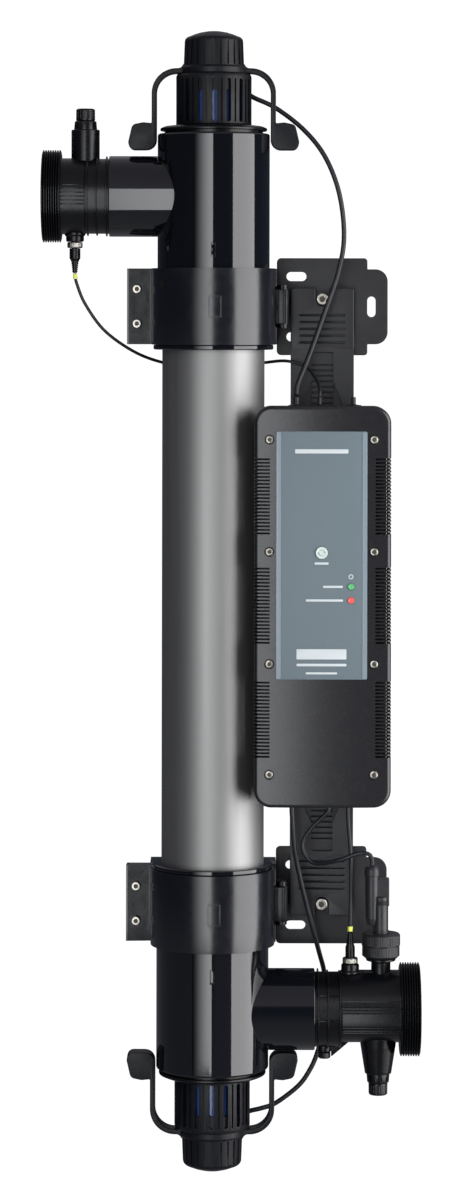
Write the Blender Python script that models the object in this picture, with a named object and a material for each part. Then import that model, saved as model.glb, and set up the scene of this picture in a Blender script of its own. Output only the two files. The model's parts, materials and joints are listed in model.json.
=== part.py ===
"""UV clarifier: a wall-hung steel lamp chamber between two tee fittings, with its control box.

Lengths are in millimetres, and MM turns them into Blender's metres where a mesh is made. The origin is the
centre of the upper wall plate's back face, with +X to the right, +Y into the wall and +Z up. Each end of the
chamber has a frame of its own at its port axis and another for its lamp fittings: +Z points out of the
chamber's end and -X out of the port.
"""

import math

import bmesh
import bpy
from mathutils import Matrix, Vector

# Driving dimensions
MM = 0.001
GAP = 0.3
LARGE_SIDES = 24
MEDIUM_SIDES = 16
SMALL_SIDES = 12

AXIS_X = -97.0
AXIS_Y = -62.0
CLAMP_SPACING = 527.0
END_REACH = {"upper": 96.7, "lower": 91.0}  # clamp centre to port axis

TUBE_RADIUS = 45.0
TUBE_WALL = 1.6
TUBE_INSERT = 28.0  # past each clamp's centre
SEAL_WIDTH = 3.0
SEAL_DEPTH = 1.7

TEE_RADIUS = 49.3
TEE_BORE = 43.5
TEE_LIP_RADIUS = 52.75
TEE_LIP = (33.5, 37.9)  # from the clamp centre, towards the tube's middle
TEE_END = 55.0
LAMP_END_SHIFT = {"upper": 0.0, "lower": -3.8}  # the lamp end fittings, along each end's +Z
STUB_RADIUS = 35.5
STUB_BORE = 31.0

FLANGE_RADIUS = 47.0
FLANGE = (57.5, 62.5)
NECK_RADIUS = 24.0
NECK_END = 95.0
SLEEVE_RADIUS = 15.0
SLEEVE_WALL = 1.5
SLEEVE_END = 92.0
LAMP_RADIUS = 9.5
LAMP_END = 78.0

NUT = (62.8, 107.3)
NUT_RADIUS = 33.2
NUT_BORE = 27.7
NUT_WINDOWS = 16
WINDOW = (3.2, 68.0, 99.0)  # width, lowest and highest

CAP = (107.6, 145.6)
CAP_BAND_RADIUS = 29.0
CAP_DOME_RADIUS = 26.5
CAP_ARM_THICK = 4.5
CAP_ARM_DEPTH = 18.0
CAP_ARM_OUTER = 54.6
CAP_ARM_CORNER = 22.0
CAP_TAB = (41.4, 64.6, 75.0)  # lowest, highest, outermost
SOCKET_RADIUS = 12.0
LEAD_BOSS = (18.0, 33.0, 117.0)  # where a lamp lead leaves its cap: sideways, back, up

PORT_BORE = 29.0
PORT_BODY = {"upper": (33.5, 0.0), "lower": (31.0, -2.4)}  # radius and offset from the port's axis
PORT_COLLAR = (35.0, 21.0)  # radius and length
OUTLET_BORE = 27.2  # beyond the collar
THREAD_RADIUS = 40.75
PORTS = {
    "upper": {"name": "inlet_port", "stub": 91.8, "thread": (134.0, 150.5), "sensor": 122.0, "stem": 112.8},
    "lower": {"name": "outlet_port", "stub": 89.9, "thread": (164.7, 182.3), "sensor": 121.2, "stem": 145.9},
}
STEM_TOP = {"upper": 66.0, "lower": 64.0}
KNOB = (10.7, 8.4)  # length and radius
SENSOR_BOSS = (7.9, -40.0)
SENSOR_RING = (-40.3, -45.5, 6.75)
SENSOR_END = -67.5
HOLE_TURN = 7.0
OUTLET_PLUG_X = 98.6
FLOW_X = 148.2
FLOW_COLLAR = -44.9
FLOW_NUT = (-45.2, -67.0, 17.0)
FLOW_STEM = (6.85, -99.4)  # radius and end
FLOW_SPIGOT_RADIUS = 5.5
FLOW_CABLE_X = 140.5
FLOW_CABLE_END = -126.0
PADDLE_PIVOT = -40.0

CLAMP_HALF = 33.5
BAND_RADIUS = 54.5
BAND_BORE = 49.9
PIN = (61.0, 15.0)  # from the chamber axis
PIN_RADIUS = 2.2
KNUCKLE_RADIUS = 5.2
STRAP_KNUCKLE_HALF = 15.0
SADDLE_KNUCKLE_HALF = 24.0
STRAP_SWING_RADIUS = 112.9  # the strap's left wall is an arc about the pin, so it swings clear of the tee
EAR = (-76.5, 12.0, 20.0)  # left edge, front and back
SADDLE_STEP = 8.0  # the saddle is this much less tall behind the ear
SCREW_X = -67.7
SCREW_SPACING = 30.6

PLATE_THICK = 4.0
PLATE_HALF = (40.6, 43.5)
PLATE_TAB = (58.8, 33.6, 11.0)  # right edge, half height, corner radius
PLATE_SLOT = (-23.0, 27.0, 18.0, 8.1)  # centre x and z, length, width
TAB_SLOT = (44.2, 18.4, 7.6)  # centre x, length, width

ARM_BACK = -5.2
ARM_FRONT = -14.0
ARM_HALF = 28.2
ARM_BLOCK = (-37.0, 16.7)
ARM_LEG_END = -150.0
ARM_GAP = (-9.4, 10.0)
ARM_SCREW_Z = 6.8
ARM_NOTCH = 12.5

BOX_X = -2.0
BOX_Z = -259.8
COVER_SIZE = (118.7, 347.0)
COVER_FRONT = -122.0
COVER_BACK = -92.0
SHELL_WALL = 3.0
BACK_X = (-48.5, 44.5)
BACK_Z = (-428.0, -92.0)
LABEL = (-3.0, -214.9, 79.0, 214.2, 0.9)  # centre x and z, width, height, thickness
BUTTON = (-3.0, -212.6, 5.25)
BUTTON_TRAVEL = 1.0
LEDS = {"green_led": (22.4, -241.9), "red_led": (22.4, -253.7)}
LED_RADIUS = 2.8
BOARD_Y = (-106.0, -104.4)
GLAND_Y = -45.0
GLAND_RADIUS = 4.4
GLANDS_TOP = (-23.7, -3.0, 27.0)
GLANDS_BOTTOM = (-27.0, 5.0, 22.5)
GLAND_HEIGHT = 12.0

# Each lead's diameter and the points of its route, from the control box or sensor to its other end
LEADS = {
    "lamp_lead_upper": (4.3, (
        (-80.4, -31.6, 213.2), (-78.6, -28.3, 213.2), (-76.4, -23.5, 208.0), (-73.6, -20.5, 196.5),
        (-63.4, -19.5, 187.3), (-42.0, -22.0, 176.9), (-17.0, -25.0, 157.3), (1.7, -30.0, 133.3),
        (14.1, -34.0, 101.2), (18.6, -34.0, 63.8), (14.1, -32.0, 32.6), (1.6, -33.0, -4.8),
        (-12.6, -39.0, -44.0), (-22.2, -44.0, -68.0), (-23.7, -45.0, -79.4))),
    "lamp_lead_lower": (4.3, (
        (-27.0, -45.0, -440.6), (-26.8, -44.8, -450.0), (-23.7, -40.0, -485.0), (-14.6, -32.0, -527.0),
        (-3.0, -24.0, -571.6), (2.6, -16.0, -594.0), (4.5, -13.0, -618.0), (2.0, -13.5, -644.0),
        (-3.6, -15.5, -666.3), (-10.2, -17.0, -681.0), (-20.5, -18.0, -695.0), (-40.4, -19.0, -710.0),
        (-53.5, -19.0, -714.8), (-66.5, -19.5, -718.2), (-76.0, -22.9, -725.2), (-78.6, -28.3, -730.7),
        (-80.4, -31.6, -730.7))),
    "sensor_lead_upper": (2.8, (
        (-219.0, -62.0, 28.9), (-217.7, -61.8, 21.0), (-210.0, -60.0, 2.0), (-193.0, -55.0, -21.5),
        (-167.4, -44.0, -40.0), (-142.8, -28.0, -49.7), (-120.0, -13.5, -53.0), (-97.0, -9.0, -54.0),
        (-72.0, -9.0, -53.0), (-51.0, -11.5, -50.0), (-32.0, -18.5, -48.5), (-15.0, -23.0, -53.5),
        (-5.5, -33.0, -65.0), (-3.0, -43.0, -74.0), (-3.0, -45.0, -79.4))),
    "sensor_lead_lower": (3.5, (
        (22.5, -45.0, -440.6), (22.9, -45.2, -455.0), (24.8, -47.5, -480.0), (25.2, -53.0, -507.0),
        (24.6, -60.0, -532.0), (24.2, -62.0, -550.2))),
    "flow_lead": (3.8, (
        (5.0, -45.0, -440.7), (4.6, -45.0, -447.0), (-10.3, -42.5, -462.6), (-17.6, -42.0, -478.0),
        (-7.7, -46.0, -491.8), (13.3, -58.0, -488.0), (30.4, -61.5, -481.5), (40.0, -62.0, -481.5),
        (43.3, -62.0, -486.0), (43.5, -62.0, -491.4))),
}

FINISHES = {  # base colour, roughness, metallic
    "gloss_black": ((0.012, 0.012, 0.015), 0.12, 0.0),
    "satin_black": ((0.018, 0.018, 0.021), 0.35, 0.0),
    "charcoal": ((0.045, 0.045, 0.048), 0.5, 0.0),
    "rubber": ((0.03, 0.031, 0.035), 0.6, 0.0),
    "steel": ((0.55, 0.55, 0.56), 0.3, 1.0),
    "nickel": ((0.75, 0.75, 0.73), 0.2, 1.0),
    "quartz": ((0.85, 0.9, 0.92), 0.05, 0.0),
    "blue_clear": ((0.05, 0.12, 0.3), 0.2, 0.0),
    "label": ((0.18, 0.22, 0.25), 0.4, 0.0),
    "button": ((0.75, 0.77, 0.75), 0.35, 0.0),
    "green": ((0.03, 0.35, 0.08), 0.2, 0.0),
    "red": ((0.6, 0.03, 0.03), 0.2, 0.0),
    "board": ((0.02, 0.12, 0.05), 0.5, 0.0),
    "seal": ((0.02, 0.02, 0.02), 0.7, 0.0),
}


# Shapes
def mesh_object(bm):
    """A linked object from a closed bmesh, scaled to metres with its faces pointing out."""
    bmesh.ops.recalc_face_normals(bm, faces=bm.faces)
    bmesh.ops.scale(bm, vec=(MM, MM, MM), verts=bm.verts)
    mesh = bpy.data.meshes.new("shape")
    bm.to_mesh(mesh)
    bm.free()
    shape = bpy.data.objects.new("shape", mesh)
    bpy.context.scene.collection.objects.link(shape)
    return shape


def turned(profile, sides):
    """A solid turned about Z from (radius, height) points, round a ring's section or from axis to axis."""
    bm = bmesh.new()
    rings = []
    for radius, height in profile:
        turns = range(sides) if radius else range(1)
        angles = [math.tau * turn / sides for turn in turns]
        rings.append([bm.verts.new((radius * math.cos(a), radius * math.sin(a), height)) for a in angles])
    is_ring = profile[0][0] > 0
    for index in range(0 if is_ring else 1, len(rings)):
        low, high = rings[index - 1], rings[index]
        for side in range(sides):
            after = (side + 1) % sides
            corners = [low[side % len(low)], low[after % len(low)]]
            corners += [high[after % len(high)], high[side % len(high)]]
            bm.faces.new(dict.fromkeys(corners))
    return mesh_object(bm)


def slab(outline, low, high, axis="Z"):
    """An outline extruded along an axis: its points are (x, y) along Z, (x, z) along Y and (y, z) along X."""
    places = {
        "Z": lambda a, b, h: (a, b, h),
        "Y": lambda a, b, h: (a, h, b),
        "X": lambda a, b, h: (h, a, b),
    }
    bm = bmesh.new()
    bottom = [bm.verts.new(places[axis](a, b, low)) for a, b in outline]
    top = [bm.verts.new(places[axis](a, b, high)) for a, b in outline]
    bm.faces.new(bottom)
    bm.faces.new(top)
    for index in range(len(outline)):
        bm.faces.new((bottom[index - 1], bottom[index], top[index], top[index - 1]))
    return mesh_object(bm)


def arc(centre, radius, start, end, steps):
    """Points along an arc, with its angles in degrees."""
    angles = [math.radians(start + (end - start) * step / steps) for step in range(steps + 1)]
    return [(centre[0] + radius * math.cos(a), centre[1] + radius * math.sin(a)) for a in angles]


def rod(centre, radius, low, high, axis="Z", sides=SMALL_SIDES):
    return slab(arc(centre, radius, 0, 360 - 360 / sides, sides - 1), low, high, axis)


def block(x_range, y_range, z_range):
    (x0, x1), (z0, z1) = x_range, z_range
    return slab([(x0, z0), (x1, z0), (x1, z1), (x0, z1)], *y_range, axis="Y")


def rounded(corners, steps=4):
    """An outline whose (x, y, radius) corners are rounded."""
    points = []
    for index, (x, y, radius) in enumerate(corners):
        here = Vector((x, y))
        if radius == 0:
            points.append((x, y))
            continue
        before = (Vector(corners[index - 1][:2]) - here).normalized()
        after = (Vector(corners[(index + 1) % len(corners)][:2]) - here).normalized()
        half = before.angle(after) / 2
        centre = here + (before + after).normalized() * (radius / math.sin(half))
        first = here + before * (radius / math.tan(half)) - centre
        last = here + after * (radius / math.tan(half)) - centre
        start = math.degrees(math.atan2(first.y, first.x))
        sweep = math.degrees(math.atan2(last.y, last.x)) - start
        sweep -= 360 * round(sweep / 360)
        points += arc(centre, radius, start, start + sweep, steps)
    return points


def rounded_rectangle(x_range, z_range, radius, steps=4):
    (x0, x1), (z0, z1) = x_range, z_range
    return rounded([(x0, z0, radius), (x1, z0, radius), (x1, z1, radius), (x0, z1, radius)], steps)


def slot(centre_x, centre_z, length, width, upright=False):
    """The outline of a slot with round ends."""
    reach = (length - width) / 2
    points = arc((reach, 0), width / 2, -90, 90, 6) + arc((-reach, 0), width / 2, 90, 270, 6)
    if upright:
        points = [(-b, a) for a, b in points]
    return [(centre_x + a, centre_z + b) for a, b in points]


def boolean(base, tools, operation):
    for tool in tools:
        modifier = base.modifiers.new("Boolean", "BOOLEAN")
        modifier.operation = operation
        modifier.solver = "EXACT"
        modifier.object = tool
        evaluated = base.evaluated_get(bpy.context.evaluated_depsgraph_get())
        result = bpy.data.meshes.new_from_object(evaluated)
        base.modifiers.clear()
        old = base.data
        base.data = result
        bpy.data.meshes.remove(old)
        tool_mesh = tool.data
        bpy.data.objects.remove(tool)
        bpy.data.meshes.remove(tool_mesh)
    return base


def joined(base, *others):
    return boolean(base, others, "UNION")


def cut(base, *cutters):
    return boolean(base, cutters, "DIFFERENCE")


def turned_along_port(profile, sides):
    """A turned solid whose axis points out of the port, along -X."""
    shape = turned(profile, sides)
    shape.data.transform(Matrix.Rotation(math.radians(-90), 4, "Y"))
    return shape


# Objects
def frame_empty(name, location, turn_y=0.0):
    empty = bpy.data.objects.new(name, None)
    empty.location = Vector(location) * MM
    empty.rotation_euler = (0.0, math.radians(turn_y), 0.0)
    bpy.context.scene.collection.objects.link(empty)
    return empty


def material(name, finish):
    colour, roughness, metallic = FINISHES[finish]
    made = bpy.data.materials.new(name)
    made.use_nodes = True
    shader = made.node_tree.nodes["Principled BSDF"]
    shader.inputs["Base Color"].default_value = (*colour, 1.0)
    shader.inputs["Roughness"].default_value = roughness
    shader.inputs["Metallic"].default_value = metallic
    return made


def part(name, shape, finish, parent=None, pivot=(0.0, 0.0, 0.0)):
    """Names and finishes a piece, with its origin at its pivot in its parent's frame."""
    shape.name = name
    shape.data.name = name
    shape.data.materials.clear()
    shape.data.materials.append(material(name, finish))
    offset = Vector(pivot) * MM
    shape.data.transform(Matrix.Translation(-offset))
    shape.data.shade_smooth()
    shape.data.set_sharp_from_angle(angle=math.radians(35))
    shape.location = offset
    shape.parent = parent
    return shape


def smooth_route(route, spacing):
    """Evenly spaced points on a smooth curve through the route's points."""
    knots = [Vector(point) for point in route]
    knots = [2 * knots[0] - knots[1], *knots, 2 * knots[-1] - knots[-2]]
    fine = []
    for index in range(1, len(knots) - 2):
        before, start, end, after = knots[index - 1:index + 3]
        for step in range(24):
            t = step / 24
            fine.append(0.5 * (2 * start + (end - before) * t
                               + (2 * before - 5 * start + 4 * end - after) * t ** 2
                               + (3 * start - before - 3 * end + after) * t ** 3))
    fine.append(knots[-2])
    travelled = [0.0]
    for start, end in zip(fine, fine[1:]):
        travelled.append(travelled[-1] + (end - start).length)
    count = max(2, round(travelled[-1] / spacing))
    points = []
    index = 0
    for step in range(count + 1):
        target = travelled[-1] * step / count
        while index < len(fine) - 2 and travelled[index + 1] < target:
            index += 1
        share = (target - travelled[index]) / (travelled[index + 1] - travelled[index])
        points.append(fine[index].lerp(fine[index + 1], min(share, 1.0)))
    return points


def lead(name, diameter, route):
    """A free lead: a round tube along a smooth route."""
    points = smooth_route(route, 2.8 * diameter)
    curve = bpy.data.curves.new(name, "CURVE")
    curve.dimensions = "3D"
    curve.bevel_depth = diameter / 2 * MM
    curve.bevel_resolution = 2
    curve.use_fill_caps = True
    spline = curve.splines.new("POLY")
    spline.points.add(len(points) - 1)
    for knot, point in zip(spline.points, points):
        knot.co = (*(point * MM), 1.0)
    curve.materials.append(material(name, "rubber"))
    tube = bpy.data.objects.new(name, curve)
    bpy.context.scene.collection.objects.link(tube)


# The chamber
def chamber_tube():
    high = TUBE_INSERT
    low = -CLAMP_SPACING - TUBE_INSERT
    inner = TUBE_RADIUS - TUBE_WALL
    profile = [(inner, low), (TUBE_RADIUS, low), (TUBE_RADIUS, high), (inner, high)]
    return turned(profile, LARGE_SIDES)


def tee(end):
    """One end fitting: a socket for the tube, a side stub for the port and a seat for the end flange."""
    reach = END_REACH[end]
    tube_end = -reach - TEE_LIP[1]
    lip_end = -reach - TEE_LIP[0] - GAP
    top = TEE_END + LAMP_END_SHIFT[end]
    body = turned([
        (0, tube_end), (TEE_LIP_RADIUS, tube_end), (TEE_LIP_RADIUS, lip_end), (TEE_RADIUS, lip_end),
        (TEE_RADIUS, top - 1.5), (TEE_RADIUS - 1.5, top), (0, top),
    ], LARGE_SIDES)
    stub = turned_along_port([
        (0, 0), (STUB_RADIUS, 0), (STUB_RADIUS, PORTS[end]["stub"]), (0, PORTS[end]["stub"]),
    ], LARGE_SIDES)
    socket = TUBE_RADIUS + GAP
    groove = socket + SEAL_DEPTH + GAP
    groove_half = SEAL_WIDTH / 2 + GAP
    bore = turned([
        (0, tube_end - 1), (socket, tube_end - 1), (socket, -reach - groove_half), (groove, -reach - groove_half),
        (groove, -reach + groove_half), (socket, -reach + groove_half), (socket, -reach + TUBE_INSERT + GAP),
        (TEE_BORE, -reach + TUBE_INSERT + GAP), (TEE_BORE, top + 1), (0, top + 1),
    ], LARGE_SIDES)
    side_bore = turned_along_port([(0, 0), (STUB_BORE, 0), (STUB_BORE, 100), (0, 100)], LARGE_SIDES)
    return cut(joined(body, stub), bore, side_bore)


def seal_ring(inner, depth, middle, width, sides):
    """A ring seal with a square section."""
    low, high = middle - width / 2, middle + width / 2
    outer = inner + depth
    return turned([(inner, low), (outer, low), (outer, high), (inner, high)], sides)


def end_flange():
    """The disc that closes a tee's end, with the neck that the sleeve nut turns on."""
    bore = SLEEVE_RADIUS + 0.4
    seat = 19.0
    plug = TEE_BORE - GAP
    return turned([
        (bore, 45), (plug, 45), (plug, FLANGE[0]), (FLANGE_RADIUS, FLANGE[0]),
        (FLANGE_RADIUS, FLANGE[1]), (NECK_RADIUS, FLANGE[1]), (NECK_RADIUS, NECK_END), (seat, NECK_END),
        (seat, 84), (bore, 84),
    ], LARGE_SIDES)


def sleeve_nut():
    """The slotted nut: windows all round it show the sight ring inside."""
    nut = turned([
        (NUT_BORE, NUT[0]), (NUT_RADIUS, NUT[0]), (NUT_RADIUS - 0.7, NUT[1]), (16, NUT[1]), (16, 101),
        (NUT_BORE, 101),
    ], 2 * NUT_WINDOWS)
    width, low, high = WINDOW
    for turn in range(NUT_WINDOWS // 2):
        bar = block((-40, 40), (-width / 2, width / 2), (low, high))
        bar.data.transform(Matrix.Rotation(math.tau * turn / NUT_WINDOWS, 4, "Z"))
        cut(nut, bar)
    return nut


def sight_ring():
    low, high = NUT[0] + 1, 100.5
    inner, outer = NECK_RADIUS + GAP, NUT_BORE - GAP
    return turned([(inner, low), (outer, low), (outer, high), (inner, high)], LARGE_SIDES)


def cap_arm(side):
    """A strap arm and its finger tab, as an outline in the X-Z plane."""
    low, high, outermost = CAP_TAB
    top = CAP[0] + 0.4 + CAP_ARM_THICK
    corner = (CAP_ARM_OUTER - CAP_ARM_CORNER, top - CAP_ARM_CORNER)
    inner = CAP_ARM_OUTER - CAP_ARM_THICK
    outline = [(24, top - CAP_ARM_THICK)]
    outline += arc(corner, CAP_ARM_CORNER - CAP_ARM_THICK, 90, 0, 5)
    outline += rounded([
        (inner, low, 3.5), (outermost - 2, low, 4), (outermost, high - 5, 4), (66, high, 4),
        (CAP_ARM_OUTER, high - 1, 0.5),
    ], 2)
    outline += arc(corner, CAP_ARM_CORNER, 0, 90, 5)
    outline.append((24, top))
    outline = [(side * x, z) for x, z in outline]
    return slab(outline, -CAP_ARM_DEPTH / 2, CAP_ARM_DEPTH / 2, "Y")


def lamp_cap(lead_side):
    """The rubber end cap with its two pull arms and the boss that the lamp's lead comes out of."""
    low, high = CAP
    cap = turned([
        (0, low), (CAP_BAND_RADIUS, low), (CAP_BAND_RADIUS, low + 5.7), (CAP_DOME_RADIUS, low + 5.9),
        (CAP_DOME_RADIUS - 0.8, high - 9.5), (22.5, high - 4.6), (14, high - 1.3), (0, high),
    ], LARGE_SIDES)
    x, y, z = LEAD_BOSS
    direction = Vector((lead_side * x, y, 0)).normalized()
    reach = math.hypot(x, y) - 4.2
    boss = rod((0, 0), 4.4, 20, reach)
    aim = direction.to_track_quat("Z", "Y").to_matrix().to_4x4()
    boss.data.transform(Matrix.Translation(Vector((0, 0, z - 0.5)) * MM) @ aim)
    joined(cap, cap_arm(1), cap_arm(-1), boss)
    return cut(cap, rod((0, 0), SOCKET_RADIUS + GAP, low - 1, low + 24, sides=MEDIUM_SIDES))


def lamp_socket():
    low = LAMP_END + GAP
    return rod((0, 0), SOCKET_RADIUS, low, CAP[0] + 24 - GAP, sides=MEDIUM_SIDES)


def quartz_sleeve():
    high = END_REACH["upper"] + LAMP_END_SHIFT["upper"] + SLEEVE_END
    low = -CLAMP_SPACING - END_REACH["lower"] - LAMP_END_SHIFT["lower"] - SLEEVE_END
    inner = SLEEVE_RADIUS - SLEEVE_WALL
    return turned([(inner, low), (SLEEVE_RADIUS, low), (SLEEVE_RADIUS, high), (inner, high)], MEDIUM_SIDES)


def uv_lamp():
    high = END_REACH["upper"] + LAMP_END_SHIFT["upper"] + LAMP_END
    low = -CLAMP_SPACING - END_REACH["lower"] - LAMP_END_SHIFT["lower"] - LAMP_END
    return rod((0, 0), LAMP_RADIUS, low, high, sides=SMALL_SIDES)


# The ports
def port_pipe(end):
    """The pipe, not yet bored: a spigot inside the tee's stub, a collar, a body and a union thread."""
    start = PORTS[end]["stub"] + GAP + 0.1
    thread_start, thread_end = PORTS[end]["thread"]
    collar_radius, collar_length = PORT_COLLAR
    collar_end = start + collar_length
    spigot = STUB_BORE - GAP
    chamfer = 0.75
    pipe = turned_along_port([
        (0, start - 20), (spigot, start - 20), (spigot, start), (collar_radius, start),
        (collar_radius, collar_end), (0, collar_end),
    ], LARGE_SIDES)
    radius, offset = PORT_BODY[end]
    body = turned_along_port([
        (0, collar_end - 1), (radius, collar_end - 1), (radius, thread_start + 1), (0, thread_start + 1),
    ], LARGE_SIDES)
    body.data.transform(Matrix.Translation((0, 0, offset * MM)))
    thread = turned_along_port([
        (0, thread_start), (THREAD_RADIUS - chamfer, thread_start), (THREAD_RADIUS, thread_start + chamfer),
        (THREAD_RADIUS, thread_end - chamfer), (THREAD_RADIUS - chamfer, thread_end), (0, thread_end),
    ], LARGE_SIDES)
    return joined(pipe, body, thread)


def port_bore(end):
    start = PORTS[end]["stub"] - 25
    finish = PORTS[end]["thread"][1] + 5
    profile = [(0, start), (PORT_BORE, start)]
    if end == "lower":
        collar_end = PORTS[end]["stub"] + PORT_COLLAR[1]
        profile += [(PORT_BORE, collar_end - 1), (OUTLET_BORE, collar_end + 2), (OUTLET_BORE, finish)]
    else:
        profile.append((PORT_BORE, finish))
    profile.append((0, finish))
    return turned_along_port(profile, LARGE_SIDES)


def upright(x, profile, sides=MEDIUM_SIDES):
    """A turned upright piece on the port, x out from the chamber's axis."""
    shape = turned(profile, sides)
    shape.data.transform(Matrix.Translation((-x * MM, 0, 0)))
    return shape


def port_hole(x, radius, low, high):
    """A cutter for an upright hole in a port, turned so that its corners lie off the pipe's."""
    cutter = rod((0, 0), radius, low, high)
    turn = Matrix.Rotation(math.radians(HOLE_TURN), 4, "Z")
    cutter.data.transform(Matrix.Translation((-x * MM, 0, 0)) @ turn)
    return cutter


def stem_hole(x, top):
    return port_hole(x, 5.3, top - 12, top + 4)


def sensor_hole(x):
    return port_hole(x, 3.5, -42, -20)


def inlet_port():
    """The inlet's pipe with its bleed stem and sensor boss."""
    port = port_pipe("upper")
    stem, sensor = PORTS["upper"]["stem"], PORTS["upper"]["sensor"]
    top = STEM_TOP["upper"]
    joined(port, upright(stem, [(0, 20), (12.45, 20), (12.45, top - 7.5), (9.2, top), (0, top)]))
    joined(port, sensor_boss(sensor))
    cut(port, port_bore("upper"), stem_hole(stem, top))
    return cut(port, sensor_hole(sensor))


def outlet_port():
    """The outlet's pipe with its drain stem, plug boss, sensor boss and flow switch neck."""
    port = port_pipe("lower")
    stem, sensor = PORTS["lower"]["stem"], PORTS["lower"]["sensor"]
    top = STEM_TOP["lower"]
    joined(port, upright(stem, [
        (0, 20), (16.4, 24), (14.6, 33), (12, top - 9), (10, top - 8), (9.8, top - 2), (8.6, top), (0, top)]))
    joined(port, upright(OUTLET_PLUG_X, [(0, 20), (6.5, 20), (6.5, 37), (0, 37)], SMALL_SIDES))
    gusset = slab([(-104.5, 27.5), (-119, 27.5), (-105.3, 39.5), (-104.5, 39.5)], -1.5, 1.5, "Y")
    joined(port, gusset, sensor_boss(sensor))
    joined(port, upright(FLOW_X, [
        (0, -20), (8.5, -20), (8.5, -42), (13, -43.4), (13, FLOW_COLLAR), (0, FLOW_COLLAR)]))
    return cut(
        port,
        port_bore("lower"),
        stem_hole(stem, top),
        port_hole(OUTLET_PLUG_X, 3.3, 32.7, 40),
        port_hole(FLOW_X, 6, -46, -20),
        sensor_hole(sensor),
    )


def sensor_boss(x):
    radius, end = SENSOR_BOSS
    return upright(x, [(0, -20), (radius, -20), (radius, end), (0, end)], MEDIUM_SIDES)


def sensor_ring(x):
    start, end, radius = SENSOR_RING
    return upright(x, [
        (3.4, start), (radius - 0.4, start), (radius, start - 0.5), (radius, end + 0.5), (radius - 0.4, end),
        (3.4, end)], SMALL_SIDES)


def sensor_plug(x):
    """A sensor's probe, plug and strain relief."""
    end = SENSOR_RING[1] - GAP
    return upright(x, [
        (0, -31), (3.1, -31), (3.1, end), (4.7, end), (4.5, -56.5), (3.2, -57), (2.5, SENSOR_END),
        (0, SENSOR_END)], SMALL_SIDES)


def stem_knob(x, top):
    """A small screw knob with its spigot down in the stem."""
    length, radius = KNOB
    start = top + GAP
    end = start + length
    return upright(x, [
        (0, top - 9), (5, top - 9), (5, start), (radius - 0.6, start), (radius, start + 0.8),
        (radius - 0.5, end - 1.5), (radius - 1.8, end), (0, end)], MEDIUM_SIDES)


def outlet_plug():
    return upright(OUTLET_PLUG_X, [
        (0, 34.2), (3, 34.2), (3, 37.3), (4.8, 37.3), (5.4, 38), (5.4, 42), (4.6, 43), (0, 43)], SMALL_SIDES)


def flow_switch_nut():
    start, end, radius = FLOW_NUT
    bore = FLOW_STEM[0] + 0.35
    return upright(FLOW_X, [
        (bore, start), (radius - 2, start), (radius, start - 1.6), (radius, end + 1.2), (radius - 1, end),
        (bore, end)])


def flow_switch_body():
    """The flow switch's stem, connector block and cable elbow."""
    radius, end = FLOW_STEM
    body = upright(FLOW_X, [
        (0, -43.0), (FLOW_SPIGOT_RADIUS, -43.0), (FLOW_SPIGOT_RADIUS, -45.1), (radius, -45.2), (radius, end),
        (0, end)], SMALL_SIDES)
    connector = block((-FLOW_X - 7.3, -FLOW_X + 7.3), (-4.5, 6.5), (-115.2, end + 8))
    elbow = upright(FLOW_CABLE_X, [
        (0, -74.4), (4.4, -74.4), (5.6, -80), (6.0, -100), (6.0, -117), (6.8, -117.1), (6.8, -123.5),
        (5.2, FLOW_CABLE_END), (0, FLOW_CABLE_END)], SMALL_SIDES)
    return joined(body, connector, elbow)


def flow_paddle():
    """The vane that the flow pushes, on its cross axle in the flow switch's neck."""
    paddle = rod((-FLOW_X, 0), 1.3, PADDLE_PIVOT - 1, -24, sides=SMALL_SIDES)
    axle = rod((-FLOW_X, PADDLE_PIVOT), 1.2, -4.5, 4.5, "Y", SMALL_SIDES)
    vane = block((-FLOW_X - 1, -FLOW_X + 1), (-6, 6), (-25, -12))
    return joined(paddle, axle, vane)


# The clamps, each in a frame on the chamber's axis at its clamp's centre
def clamp_strap():
    """The front half of a clamp: band, ear and hinge knuckle."""
    left, ear_front, ear_back = EAR
    band_left = math.degrees(math.acos(-math.sqrt(BAND_RADIUS ** 2 - ear_front ** 2) / BAND_RADIUS))
    swing_back = math.degrees(math.asin((ear_back - PIN[1]) / STRAP_SWING_RADIUS))
    swing_front = math.degrees(math.asin((-9 - PIN[1]) / STRAP_SWING_RADIUS))
    outline = [(left, ear_front)]
    outline += arc((0, 0), BAND_RADIUS, band_left, 370, 18)
    outline += arc((0, 0), BAND_BORE, 370, 180 + 10.5, 16)
    outline += arc(PIN, STRAP_SWING_RADIUS, 180 - swing_front, 180 - swing_back, 4)
    outline.append((left, ear_back))
    band = slab(outline, -CLAMP_HALF, CLAMP_HALF)
    lug = rounded([(50.5, 6, 0), (62, 6, 3), (PIN[0] + 5, PIN[1] - 1, 3), (55, PIN[1] + 2, 0), (48.5, 12, 0)], 2)
    knuckle = slab(lug, -STRAP_KNUCKLE_HALF, STRAP_KNUCKLE_HALF)
    barrel = rod(PIN, KNUCKLE_RADIUS, -STRAP_KNUCKLE_HALF, STRAP_KNUCKLE_HALF)
    joined(band, knuckle, barrel)
    cut(band, rod(PIN, PIN_RADIUS + GAP, -40, 40))
    for side in (-1, 1):
        cut(band, rod((SCREW_X, side * SCREW_SPACING / 2), 2.4, ear_front - 5, ear_back + 5, "Y"))
    return band


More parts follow.
